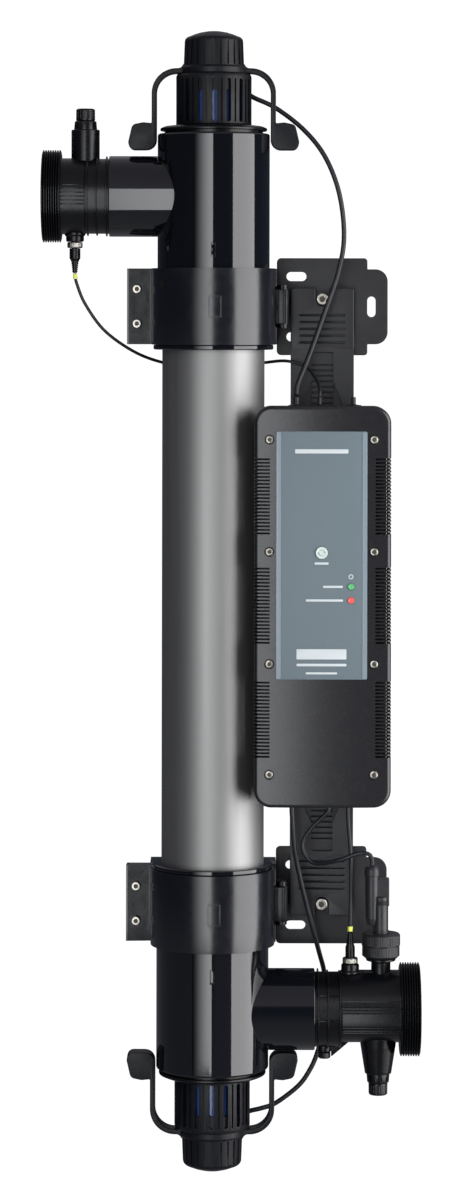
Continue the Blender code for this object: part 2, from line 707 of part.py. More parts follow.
def clamp_saddle():
    """The back half of a clamp, standing on the wall, with its outer hinge knuckles."""
    left, _, ear_back = EAR
    front = ear_back + GAP
    wall = -AXIS_Y
    horn = PIN[1] + KNUCKLE_RADIUS + 1.3
    right = AXIS_X * -1 - PLATE_HALF[0] - GAP
    start = math.degrees(math.asin(horn / BAND_BORE))
    end = 180 - math.degrees(math.asin(front / BAND_BORE))
    outline = [(right, wall), (right, horn)]
    outline += arc((0, 0), BAND_BORE, start, end, 12)
    outline += rounded([(left, front, 1.0), (left + 1, 40, 16), (left + 15, wall, 0)], 4)
    saddle = slab(outline, -CLAMP_HALF, CLAMP_HALF)
    lug = [(right - 8, horn + 6), (right - 5, PIN[1] + 3), (PIN[0] + 4, PIN[1]), (PIN[0] + 4, horn + 6)]
    for side in (-1, 1):
        low, high = sorted((side * (STRAP_KNUCKLE_HALF + GAP), side * SADDLE_KNUCKLE_HALF))
        joined(saddle, slab(lug, low, high), rod(PIN, KNUCKLE_RADIUS, low, high))
        cut(saddle, rod((SCREW_X, side * SCREW_SPACING / 2), 2.2, front - 1, front + 14, "Y"))
        step = sorted((side * (CLAMP_HALF - SADDLE_STEP), side * (CLAMP_HALF + 1)))
        cut(saddle, block((left - 1, left + 21), (front + 7, wall + 1), step))
    cut(saddle, rod(PIN, PIN_RADIUS + GAP, -40, 40))
    return saddle


def hinge_pin():
    return rod(PIN, PIN_RADIUS, -SADDLE_KNUCKLE_HALF - 1, SADDLE_KNUCKLE_HALF + 1)


def clamp_screw(z):
    """A captive socket screw, its shank ending at the strap's back face."""
    _, ear_front, ear_back = EAR
    screw = rod((SCREW_X, z), 4.0, ear_front - 3.6, ear_front - GAP, "Y")
    joined(screw, rod((SCREW_X, z), 2.0, ear_front - 1, ear_back - GAP, "Y"))
    socket = rod((SCREW_X, z), 2.0, ear_front - 5, ear_front - 1.8, "Y", 6)
    return cut(screw, socket)


# The wall plates and the control box
def wall_plate():
    half_x, half_z = PLATE_HALF
    tab_x, tab_z, tab_corner = PLATE_TAB
    outline = rounded([
        (-half_x, -half_z, 6), (half_x - 3, -half_z, 6), (half_x, -tab_z, 0), (tab_x, -tab_z, tab_corner),
        (tab_x, tab_z, tab_corner), (half_x, tab_z, 0), (half_x - 3, half_z, 6), (-half_x, half_z, 6)])
    plate = slab(outline, -PLATE_THICK, 0, "Y")
    slot_x, slot_z, length, width = PLATE_SLOT
    cutters = [slot(slot_x, side * slot_z, length, width) for side in (-1, 1)]
    tab_slot_x, tab_length, tab_width = TAB_SLOT
    cutters.append(slot(tab_slot_x, 0, tab_length, tab_width, upright=True))
    return cut(plate, *[slab(points, -PLATE_THICK - 1, 1, "Y") for points in cutters])


def box_arm():
    """A bracket arm: a notched block on the wall plate and two legs that run on behind the box."""
    bottom, top = ARM_BLOCK
    gap_left, gap_right = ARM_GAP
    half = ARM_NOTCH / 2
    outline = rounded([
        (-ARM_HALF, ARM_LEG_END, 2), (gap_left, ARM_LEG_END, 2), (gap_left, bottom - 4, 3),
        (gap_right, bottom - 4, 3), (gap_right, ARM_LEG_END, 2), (ARM_HALF, ARM_LEG_END, 2),
        (ARM_HALF, top, 3), (half, top, 1), (half, ARM_SCREW_Z - half, half - 0.1),
        (-half, ARM_SCREW_Z - half, half - 0.1), (-half, top, 1), (-ARM_HALF, top, 3)], 4)
    arm = slab(outline, ARM_FRONT, ARM_BACK, "Y")
    web = block((gap_left - 1, gap_right + 1), (ARM_BACK - 3, ARM_BACK), (ARM_LEG_END + 20, bottom))
    floor = block((-8, 8), (ARM_BACK - 3, ARM_BACK), (ARM_SCREW_Z - half - 1, top - 4))
    joined(arm, web, floor)
    return cut(arm, rod((0, ARM_SCREW_Z), 2.8, ARM_FRONT - 1, ARM_BACK + 1, "Y"))


def arm_screw():
    head = rod((0, ARM_SCREW_Z), 5.5, ARM_FRONT - 1.5, ARM_BACK - 3 - GAP, "Y", MEDIUM_SIDES)
    joined(head, rod((0, ARM_SCREW_Z), 2.5, ARM_BACK - 4, -PLATE_THICK - GAP, "Y"))
    return cut(head, rod((0, ARM_SCREW_Z), 2.9, ARM_FRONT - 3, ARM_FRONT + 1.5, "Y", 6))


def cover_ranges(inset):
    width, height = COVER_SIZE
    x_range = (BOX_X - width / 2 + inset, BOX_X + width / 2 - inset)
    z_range = (BOX_Z - height / 2 + inset, BOX_Z + height / 2 - inset)
    return x_range, z_range


def box_cover():
    """The wide front cover, open at its back, with its button and lamp holes."""
    cover = slab(rounded_rectangle(*cover_ranges(0), 15), COVER_FRONT + 1.5, COVER_BACK, "Y")
    face = slab(rounded_rectangle(*cover_ranges(1.5), 13.5), COVER_FRONT, COVER_FRONT + 5, "Y")
    joined(cover, face)
    inside = slab(rounded_rectangle(*cover_ranges(SHELL_WALL), 12), COVER_FRONT + SHELL_WALL, COVER_BACK + 1, "Y")
    holes = [rod(BUTTON[:2], BUTTON[2] + 0.35, COVER_FRONT - 1, COVER_FRONT + 5, "Y", MEDIUM_SIDES)]
    holes += [rod(place, LED_RADIUS + GAP, COVER_FRONT - 1, COVER_FRONT + 5, "Y") for place in LEDS.values()]
    return cut(cover, inside, *holes)


def box_back():
    """The deep back shell, its flange inside the cover's rim, with the lead glands on its ends."""
    flange_back = COVER_BACK - GAP
    body = slab(rounded_rectangle(BACK_X, BACK_Z, 8), flange_back - 2, ARM_FRONT - GAP, "Y")
    flange = slab(rounded_rectangle(*cover_ranges(SHELL_WALL + GAP), 12 - GAP), flange_back - 3, flange_back, "Y")
    joined(body, flange)
    inner_x = (BACK_X[0] + SHELL_WALL, BACK_X[1] - SHELL_WALL)
    inner_z = (BACK_Z[0] + SHELL_WALL, BACK_Z[1] - SHELL_WALL)
    cut(body, slab(rounded_rectangle(inner_x, inner_z, 5), flange_back - 5, ARM_FRONT - GAP - SHELL_WALL, "Y"))
    for x in GLANDS_TOP:
        joined(body, rod((x, GLAND_Y), GLAND_RADIUS, BACK_Z[1] - 1, BACK_Z[1] + GLAND_HEIGHT))
    for x in GLANDS_BOTTOM:
        joined(body, rod((x, GLAND_Y), GLAND_RADIUS, BACK_Z[0] - GLAND_HEIGHT, BACK_Z[0] + 1))
    return body


def box_label():
    x, z, width, height, thick = LABEL
    back = COVER_FRONT - GAP
    label = slab(rounded_rectangle((x - width / 2, x + width / 2), (z - height / 2, z + height / 2), 1.5, 2),
                 back - thick, back, "Y")
    holes = [rod(BUTTON[:2], BUTTON[2] + 0.35, back - 2, back + 2, "Y", MEDIUM_SIDES)]
    holes += [rod(place, LED_RADIUS + GAP, back - 2, back + 2, "Y") for place in LEDS.values()]
    return cut(label, *holes)


def reset_button():
    front = COVER_FRONT - GAP - LABEL[4] - BUTTON_TRAVEL - 0.3
    return rod(BUTTON[:2], BUTTON[2], front, BOARD_Y[0] - 4, "Y", MEDIUM_SIDES)


def status_led(place):
    x, z = place
    front = COVER_FRONT - GAP - LABEL[4] - 0.6
    return rod((x, z), LED_RADIUS, front, BOARD_Y[0] - GAP, "Y")


def circuit_board():
    """The board behind the label, with the switch that the button presses."""
    board = block((-44, 38), BOARD_Y, (-330, -110))
    x, z, _ = BUTTON
    switch = block((x - 4, x + 4), (BOARD_Y[0] - 2.5, BOARD_Y[0] + 0.5), (z - 4, z + 4))
    return joined(board, switch)


def ballast():
    return block((-36, 32), (-62, -20), (-400, -150))


# Assembly
def build_end(end, frame, lamp_frame):
    """The fittings at one end: the tee and port in the port's frame, the lamp's fittings in their own."""
    ports = {"upper": inlet_port, "lower": outlet_port}
    sensor = PORTS[end]["sensor"]
    stem = PORTS[end]["stem"]
    knobs = {"upper": "bleed_knob", "lower": "drain_knob"}
    lead_side = {"upper": 1, "lower": -1}[end]
    tube_seal = seal_ring(TUBE_RADIUS + GAP, SEAL_DEPTH, -END_REACH[end], SEAL_WIDTH, LARGE_SIDES)
    sleeve_seal = seal_ring(SLEEVE_RADIUS + GAP, 3.4, 86.5, 4, MEDIUM_SIDES)
    part(f"tee_{end}", tee(end), "gloss_black", frame)
    part(f"tube_oring_{end}", tube_seal, "seal", frame)
    part(f"end_flange_{end}", end_flange(), "satin_black", lamp_frame)
    part(f"sleeve_oring_{end}", sleeve_seal, "seal", lamp_frame)
    part(f"sight_ring_{end}", sight_ring(), "blue_clear", lamp_frame)
    part(f"sleeve_nut_{end}", sleeve_nut(), "satin_black", lamp_frame)
    part(f"lamp_cap_{end}", lamp_cap(lead_side), "rubber", lamp_frame)
    part(f"lamp_socket_{end}", lamp_socket(), "button", lamp_frame)
    part(PORTS[end]["name"], ports[end](), "satin_black", frame)
    part(knobs[end], stem_knob(stem, STEM_TOP[end]), "satin_black", frame, (-stem, 0, 0))
    part(f"sensor_ring_{end}", sensor_ring(sensor), "nickel", frame, (-sensor, 0, 0))
    part(f"sensor_plug_{end}", sensor_plug(sensor), "satin_black", frame)


def build_clamp(end, frame):
    """One clamp, in its own frame."""
    part(f"clamp_strap_{end}", clamp_strap(), "satin_black", frame, (*PIN, 0))
    part(f"clamp_saddle_{end}", clamp_saddle(), "satin_black", frame)
    part(f"hinge_pin_{end}", hinge_pin(), "nickel", frame)
    for place, side in (("top", 1), ("bottom", -1)):
        z = side * SCREW_SPACING / 2
        part(f"clamp_screw_{end}_{place}", clamp_screw(z), "nickel", frame, (*PIN, 0))


def build_wall_mount(end, frame):
    part(f"wall_plate_{end}", wall_plate(), "charcoal", frame)
    mirror = {"upper": 1, "lower": -1}[end]
    for name, shape, finish in (("box_arm", box_arm(), "charcoal"), ("arm_screw", arm_screw(), "nickel")):
        if mirror < 0:
            shape.data.transform(Matrix.Rotation(math.pi, 4, "Y"))
        part(f"{name}_{end}", shape, finish, frame)


def build():
    for stale in list(bpy.data.objects):
        bpy.data.objects.remove(stale)

    chamber = frame_empty("chamber_axis", (AXIS_X, AXIS_Y, 0))
    part("chamber_tube", chamber_tube(), "steel", chamber)
    part("quartz_sleeve", quartz_sleeve(), "quartz", chamber)
    part("uv_lamp", uv_lamp(), "quartz", chamber)

    upper_z = END_REACH["upper"]
    lower_z = -CLAMP_SPACING - END_REACH["lower"]
    upper = frame_empty("upper_end", (AXIS_X, AXIS_Y, upper_z))
    lower = frame_empty("lower_end", (AXIS_X, AXIS_Y, lower_z), 180)
    upper_lamp = frame_empty("upper_lamp_end", (AXIS_X, AXIS_Y, upper_z + LAMP_END_SHIFT["upper"]))
    lower_lamp = frame_empty("lower_lamp_end", (AXIS_X, AXIS_Y, lower_z - LAMP_END_SHIFT["lower"]), 180)
    build_end("upper", upper, upper_lamp)
    build_end("lower", lower, lower_lamp)
    part("outlet_plug", outlet_plug(), "satin_black", lower, (-OUTLET_PLUG_X, 0, 0))
    part("flow_switch_nut", flow_switch_nut(), "charcoal", lower, (-FLOW_X, 0, 0))
    part("flow_switch_body", flow_switch_body(), "satin_black", lower)
    part("flow_paddle", flow_paddle(), "satin_black", lower, (-FLOW_X, 0, PADDLE_PIVOT))

    build_clamp("upper", frame_empty("upper_clamp", (AXIS_X, AXIS_Y, 0)))
    build_clamp("lower", frame_empty("lower_clamp", (AXIS_X, AXIS_Y, -CLAMP_SPACING)))
    build_wall_mount("upper", frame_empty("upper_mount", (0, 0, 0)))
    build_wall_mount("lower", frame_empty("lower_mount", (0, 0, -CLAMP_SPACING)))

    part("box_back", box_back(), "charcoal")
    part("box_cover", box_cover(), "charcoal")
    part("box_label", box_label(), "label")
    part("reset_button", reset_button(), "button", None, (BUTTON[0], COVER_FRONT, BUTTON[1]))
    part("green_led", status_led(LEDS["green_led"]), "green")
    part("red_led", status_led(LEDS["red_led"]), "red")
    part("circuit_board", circuit_board(), "board")
    part("ballast", ballast(), "nickel")

    for name, (diameter, route) in LEADS.items():
        lead(name, diameter, route)


build()
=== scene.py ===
"""The looks of the UV clarifier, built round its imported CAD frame.

Local sizes are in millimetres; MM turns them into metres where a mesh is made. Each end of the chamber has a
frame of its own at its port axis: +Z points out of the chamber's end, -X out of the port and +Y to the wall.
"""

import json
import math

import bmesh
import bpy
from mathutils import Matrix, Vector

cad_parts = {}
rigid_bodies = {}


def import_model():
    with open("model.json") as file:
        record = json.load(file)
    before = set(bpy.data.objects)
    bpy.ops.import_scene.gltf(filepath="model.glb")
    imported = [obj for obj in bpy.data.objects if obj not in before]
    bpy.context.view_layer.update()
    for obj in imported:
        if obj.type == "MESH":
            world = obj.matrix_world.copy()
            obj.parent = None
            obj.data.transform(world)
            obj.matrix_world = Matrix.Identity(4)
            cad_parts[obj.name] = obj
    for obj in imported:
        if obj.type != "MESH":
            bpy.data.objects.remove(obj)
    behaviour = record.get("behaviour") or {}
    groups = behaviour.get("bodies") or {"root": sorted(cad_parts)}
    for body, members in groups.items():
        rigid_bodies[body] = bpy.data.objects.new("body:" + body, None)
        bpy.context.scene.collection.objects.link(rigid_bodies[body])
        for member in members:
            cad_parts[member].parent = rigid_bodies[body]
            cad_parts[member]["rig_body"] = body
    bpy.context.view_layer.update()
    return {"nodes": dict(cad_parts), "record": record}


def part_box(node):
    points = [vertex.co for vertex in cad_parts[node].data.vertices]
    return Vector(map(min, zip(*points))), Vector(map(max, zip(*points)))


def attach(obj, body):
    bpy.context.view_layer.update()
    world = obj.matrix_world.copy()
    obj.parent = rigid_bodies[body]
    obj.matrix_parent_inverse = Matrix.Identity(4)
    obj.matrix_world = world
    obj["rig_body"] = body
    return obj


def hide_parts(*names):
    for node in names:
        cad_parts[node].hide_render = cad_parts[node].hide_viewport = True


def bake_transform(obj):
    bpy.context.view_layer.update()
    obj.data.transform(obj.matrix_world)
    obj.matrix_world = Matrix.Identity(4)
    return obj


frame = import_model()

MM = 0.001
GAP = 0.3
FINE = 128
ROUND = 64
SMALL = 32
SHARP_ANGLE = math.radians(32)
ENDS = ("upper", "lower")


def shift(x=0.0, y=0.0, z=0.0):
    """A move given in millimetres."""
    return Matrix.Translation(Vector((x, y, z)) * MM)


# Places read from the frame, in millimetres
tube_low, tube_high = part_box("chamber_tube")
AXIS_X = (tube_low.x + tube_high.x) / 2 / MM
AXIS_Y = (tube_low.y + tube_high.y) / 2 / MM
TUBE_RADIUS = (tube_high.x - tube_low.x) / 2 / MM
MOUNTS = {mount["name"]: Vector(mount["pos_m"]) / MM for mount in frame["record"]["mounts"]}
CLAMP_Z = {"upper": 0.0, "lower": MOUNTS["wall_face_lower"].z}
FACE_OFFSET = 34.5  # from a port's axis to its face mount
PORT_Z = {"upper": MOUNTS["inlet_face"].z - FACE_OFFSET, "lower": MOUNTS["outlet_face"].z + FACE_OFFSET}
END_FRAME = {"upper": shift(AXIS_X, AXIS_Y, PORT_Z["upper"]),
             "lower": shift(AXIS_X, AXIS_Y, PORT_Z["lower"]) @ Matrix.Rotation(math.pi, 4, "Y")}
LAMP_SHIFT = {"upper": 0.0, "lower": -3.8}
LAMP_FRAME = {end: END_FRAME[end] @ shift(z=LAMP_SHIFT[end]) for end in ENDS}
CLAMP_FRAME = {end: shift(AXIS_X, AXIS_Y, CLAMP_Z[end]) for end in ENDS}
REACH = {end: abs(PORT_Z[end] - CLAMP_Z[end]) for end in ENDS}
WORLD = Matrix.Identity(4)

# Sizes shared with the CAD model
TEE_RADIUS = 49.3
TEE_BORE = 43.5
TEE_LIP_RADIUS = 52.75
TEE_LIP = (33.5, 37.9)
TEE_END = 55.0
STUB_RADIUS = 35.5
STUB_BORE = 31.0
FLANGE = (57.5, 62.5)
NUT = (62.8, 107.3)
NUT_RADIUS = 33.2
NUT_BORE = 27.7
NUT_WINDOWS = 16
CAP = (107.6, 145.6)
CAP_BAND_RADIUS = 29.0
CAP_DOME_RADIUS = 26.5
PORT_BORE = 29.0
PORT_RADIUS = 33.5
THREAD_RADIUS = 40.75
PORTS = {
    "upper": {"node": "inlet_port", "stub": 91.8, "thread": (134.0, 150.5), "sensor": 122.0, "stem": 112.8},
    "lower": {"node": "outlet_port", "stub": 89.9, "thread": (164.7, 182.3), "sensor": 121.2, "stem": 145.9},
}
STEM_TOP = {"upper": 66.0, "lower": 64.0}
OUTLET_PLUG_X = 98.6
FLOW_X = 148.2
FLOW_CABLE_X = 140.5
CLAMP_HALF = 33.5
BAND_RADIUS = 54.5
BAND_BORE = 49.9
PIN = (61.0, 15.0)
EAR = (-76.5, 12.0, 20.0)
SWING_RADIUS = 112.9
SCREW_X = -67.7
SCREW_SPACING = 30.6
ARM_BACK = -5.2
ARM_FRONT = -14.0
ARM_HALF = 28.2
ARM_SCREW_Z = 6.8
BOX_X = -2.0
BOX_Z = -259.8
COVER_SIZE = (118.7, 347.0)
COVER_FRONT = -122.0
COVER_BACK = -92.0
CROWN_RADIUS = 620.0
LABEL = (-3.0, -214.9, 79.0, 214.2)
BUTTON = (-3.0, -212.6, 5.25)
LEDS = {"green_led": (22.4, -241.9), "red_led": (22.4, -253.7)}

# Sizes used in more than one place
BUTTON_HOLE = 5.6
LED_HOLE = 3.1
COLLAR_GAP = 0.4  # between a port's collar and the stub's end
HINGE_BORE = 2.5
HINGE_HALF = 15.0

LEADS = {
    "lamp_lead_upper": (4.3, (
        (-80.4, -31.6, 213.2), (-78.6, -28.3, 213.2), (-76.4, -23.5, 208.0), (-73.6, -20.5, 196.5),
        (-63.4, -19.5, 187.3), (-42.0, -22.0, 176.9), (-17.0, -25.0, 157.3), (1.7, -30.0, 133.3),
        (14.1, -34.0, 101.2), (18.6, -34.0, 63.8), (14.1, -32.0, 32.6), (1.6, -33.0, -4.8),
        (-12.6, -39.0, -44.0), (-22.2, -44.0, -68.0), (-23.7, -45.0, -79.4))),
    "lamp_lead_lower": (4.3, (
        (-27.0, -45.0, -440.6), (-26.8, -44.8, -450.0), (-23.7, -40.0, -485.0), (-14.6, -32.0, -527.0),
        (-3.0, -24.0, -571.6), (2.6, -16.0, -594.0), (4.5, -13.0, -618.0), (2.0, -13.5, -644.0),
        (-3.6, -15.5, -666.3), (-10.2, -17.0, -681.0), (-20.5, -18.0, -695.0), (-40.4, -19.0, -710.0),
        (-53.5, -19.0, -714.8), (-66.5, -19.5, -718.2), (-76.0, -22.9, -725.2), (-78.6, -28.3, -730.7),
        (-80.4, -31.6, -730.7))),
    "sensor_lead_upper": (2.8, (
        (-219.0, -62.0, 28.9), (-217.7, -61.8, 21.0), (-210.0, -60.0, 2.0), (-193.0, -55.0, -21.5),
        (-167.4, -44.0, -40.0), (-142.8, -28.0, -49.7), (-120.0, -13.5, -53.0), (-97.0, -9.0, -54.0),
        (-72.0, -9.0, -53.0), (-51.0, -11.5, -50.0), (-32.0, -18.5, -48.5), (-15.0, -23.0, -53.5),
        (-5.5, -33.0, -65.0), (-3.0, -43.0, -74.0), (-3.0, -45.0, -79.4))),
    "sensor_lead_lower": (3.5, (
        (22.5, -45.0, -440.6), (22.9, -45.2, -455.0), (24.8, -47.5, -480.0), (25.2, -53.0, -507.0),
        (24.6, -60.0, -532.0), (24.2, -62.0, -550.2))),
    "flow_lead": (3.8, (
        (5.0, -45.0, -440.7), (4.6, -45.0, -447.0), (-10.3, -42.5, -462.6), (-17.6, -42.0, -478.0),
        (-7.7, -46.0, -491.8), (13.3, -58.0, -488.0), (30.4, -61.5, -481.5), (40.0, -62.0, -481.5),
        (43.3, -62.0, -486.0), (43.5, -62.0, -491.4))),
}


# Camera and stage
CAMERA_PLACE = (-0.0803, -3.262, -0.00305)
CAMERA_ROLL = -0.10


def make_camera():
    data = bpy.data.cameras.new("camera")
    data.sensor_width = 36.0
    data.lens = 109.1
    data.shift_x = -0.0004
    data.shift_y = -0.2417
    camera = bpy.data.objects.new("camera", data)
    camera.location = CAMERA_PLACE
    camera.rotation_euler = (math.pi / 2, math.radians(CAMERA_ROLL), 0.0)
    bpy.context.scene.collection.objects.link(camera)
    bpy.context.scene.camera = camera


def feed(tree, made, inputs):
    """Gives each input of a shader node its value, or the output that feeds it."""
    for key, value in inputs.items():
        if isinstance(value, bpy.types.NodeSocket):
            tree.links.new(value, made.inputs[key])
        else:
            made.inputs[key].default_value = value


def node(tree, kind, inputs=None, **settings):
    made = tree.nodes.new(kind)
    for key, value in settings.items():
        setattr(made, key, value)
    feed(tree, made, inputs or {})
    return made


def make_world():
    """White to the camera, and to everything else a dim room, lighter overhead."""
    world = bpy.data.worlds.new("room")
    bpy.context.scene.world = world
    world.use_nodes = True
    tree = world.node_tree
    tree.nodes.clear()
    direction = node(tree, "ShaderNodeTexCoord").outputs["Generated"]
    height = node(tree, "ShaderNodeSeparateXYZ", {0: direction}).outputs["Z"]
    height = node(tree, "ShaderNodeMapRange", {"Value": height, "From Min": -1.0}).outputs["Result"]
    ramp = node(tree, "ShaderNodeValToRGB", {0: height})
    stops = ((0.0, (0.30, 0.30, 0.32)), (0.25, (0.22, 0.22, 0.25)), (0.47, (0.04, 0.045, 0.06)),
             (0.62, (0.04, 0.045, 0.06)), (0.68, (0.50, 0.47, 0.52)), (1.0, (0.35, 0.34, 0.38)))
    while len(ramp.color_ramp.elements) < len(stops):
        ramp.color_ramp.elements.new(0.5)
    for element, (position, colour) in zip(ramp.color_ramp.elements, stops):
        element.position = position
        element.color = (*colour, 1.0)
    room = node(tree, "ShaderNodeBackground", {"Color": ramp.outputs["Color"]})
    white = node(tree, "ShaderNodeBackground", {"Color": (1.0, 1.0, 1.0, 1.0), "Strength": 1.05})
    seen = node(tree, "ShaderNodeLightPath").outputs["Is Camera Ray"]
    mix = node(tree, "ShaderNodeMixShader", {0: seen, 1: room.outputs[0], 2: white.outputs[0]})
    node(tree, "ShaderNodeOutputWorld", {"Surface": mix.outputs[0]})


def softbox(name, turns, heights, distance, strengths, colour):
    """A curved light panel round the chamber, from one turn to another, brightening from side to side."""
    bm = bmesh.new()
    columns = 16
    edges = []
    for column in range(columns + 1):
        turn = math.radians(turns[0] + (turns[1] - turns[0]) * column / columns)
        x = AXIS_X * MM + distance * math.sin(turn)
        y = AXIS_Y * MM - distance * math.cos(turn)
        edges.append([bm.verts.new((x, y, height)) for height in heights])
    layer = bm.loops.layers.uv.new("across")
    for column, (left, right) in enumerate(zip(edges, edges[1:])):
        face = bm.faces.new((left[0], right[0], right[1], left[1]))
        for loop, share in zip(face.loops, (column, column + 1, column + 1, column)):
            loop[layer].uv = (share / columns, 0.5)
    panel = mesh_object(bm, name)
    panel.visible_camera = False
    panel.visible_shadow = False
    look = bpy.data.materials.new(name)
    look.use_nodes = True
    tree = look.node_tree
    tree.nodes.clear()
    across = node(tree, "ShaderNodeUVMap", uv_map="across").outputs[0]
    share = node(tree, "ShaderNodeSeparateXYZ", {0: across}).outputs["X"]
    ramp = node(tree, "ShaderNodeMapRange", {"Value": share, "To Min": strengths[0], "To Max": strengths[1]},
                interpolation_type="SMOOTHSTEP")
    glow = node(tree, "ShaderNodeEmission", {"Color": (*colour, 1.0), "Strength": ramp.outputs["Result"]})
    node(tree, "ShaderNodeOutputMaterial", {"Surface": glow.outputs[0]})
    panel.data.materials.append(look)


def make_stage():
    make_world()
    softbox("left_softbox", (-42.0, -1.5), (-1.25, 0.66), 1.6, (0.0, 6.2), (0.97, 0.99, 1.0))
    softbox("right_softbox", (40.0, 92.0), (-1.3, 0.8), 1.6, (6.3, 6.3), (1.0, 0.98, 1.0))
    half, height = 2.4, -1.5
    bm = bmesh.new()
    corners = ((-half, -half), (half, -half), (half, half), (-half, half))
    bm.faces.new([bm.verts.new((x, y, height)) for x, y in corners])
    floor = mesh_object(bm, "floor")
    floor.data.materials.append(moulded("floor_paint", (0.8, 0.8, 0.8), 0.7, 0.05, 30, 0.02))
    floor.visible_glossy = False
    floor.visible_diffuse = False
    bpy.context.scene.view_settings.view_transform = "Standard"


# Materials
def noise(tree, place, scale, detail, stretch):
    if stretch:
        place = node(tree, "ShaderNodeMapping", {"Vector": place, "Scale": stretch}).outputs["Vector"]
    made = node(tree, "ShaderNodeTexNoise", {"Vector": place, "Scale": scale, "Detail": detail})
    return made.outputs["Fac"]


def moulded(name, colour, roughness, spread, grain, strength, variation=0.15, stretch=None, **sockets):
    """A surface with mottled roughness and colour, and a fine grain in its normals."""
    look = bpy.data.materials.new(name)
    look.use_nodes = True
    tree = look.node_tree
    place = node(tree, "ShaderNodeTexCoord").outputs["Object"]
    dark = [channel * (1 - variation) for channel in colour]
    light = [min(channel * (1 + variation), 1.0) for channel in colour]
    clouds = noise(tree, place, 38.0, 3.0, stretch)
    mottle = node(tree, "ShaderNodeMix", {"Factor": clouds, "A": (*dark, 1.0), "B": (*light, 1.0)},
                  data_type="RGBA")
    spreading = node(tree, "ShaderNodeMapRange", {
        "Value": noise(tree, place, 130.0, 4.0, stretch), "From Min": 0.3, "From Max": 0.7,
        "To Min": roughness - spread, "To Max": roughness + spread})
    bump = node(tree, "ShaderNodeBump", {
        "Height": noise(tree, place, grain, 2.0, stretch), "Strength": strength, "Distance": 0.0002})
    feed(tree, tree.nodes["Principled BSDF"], {
        "Base Color": mottle.outputs["Result"], "Roughness": spreading.outputs["Result"],
        "Normal": bump.outputs["Normal"],
        **{socket.replace("_", " "): value for socket, value in sockets.items()}})
    return look


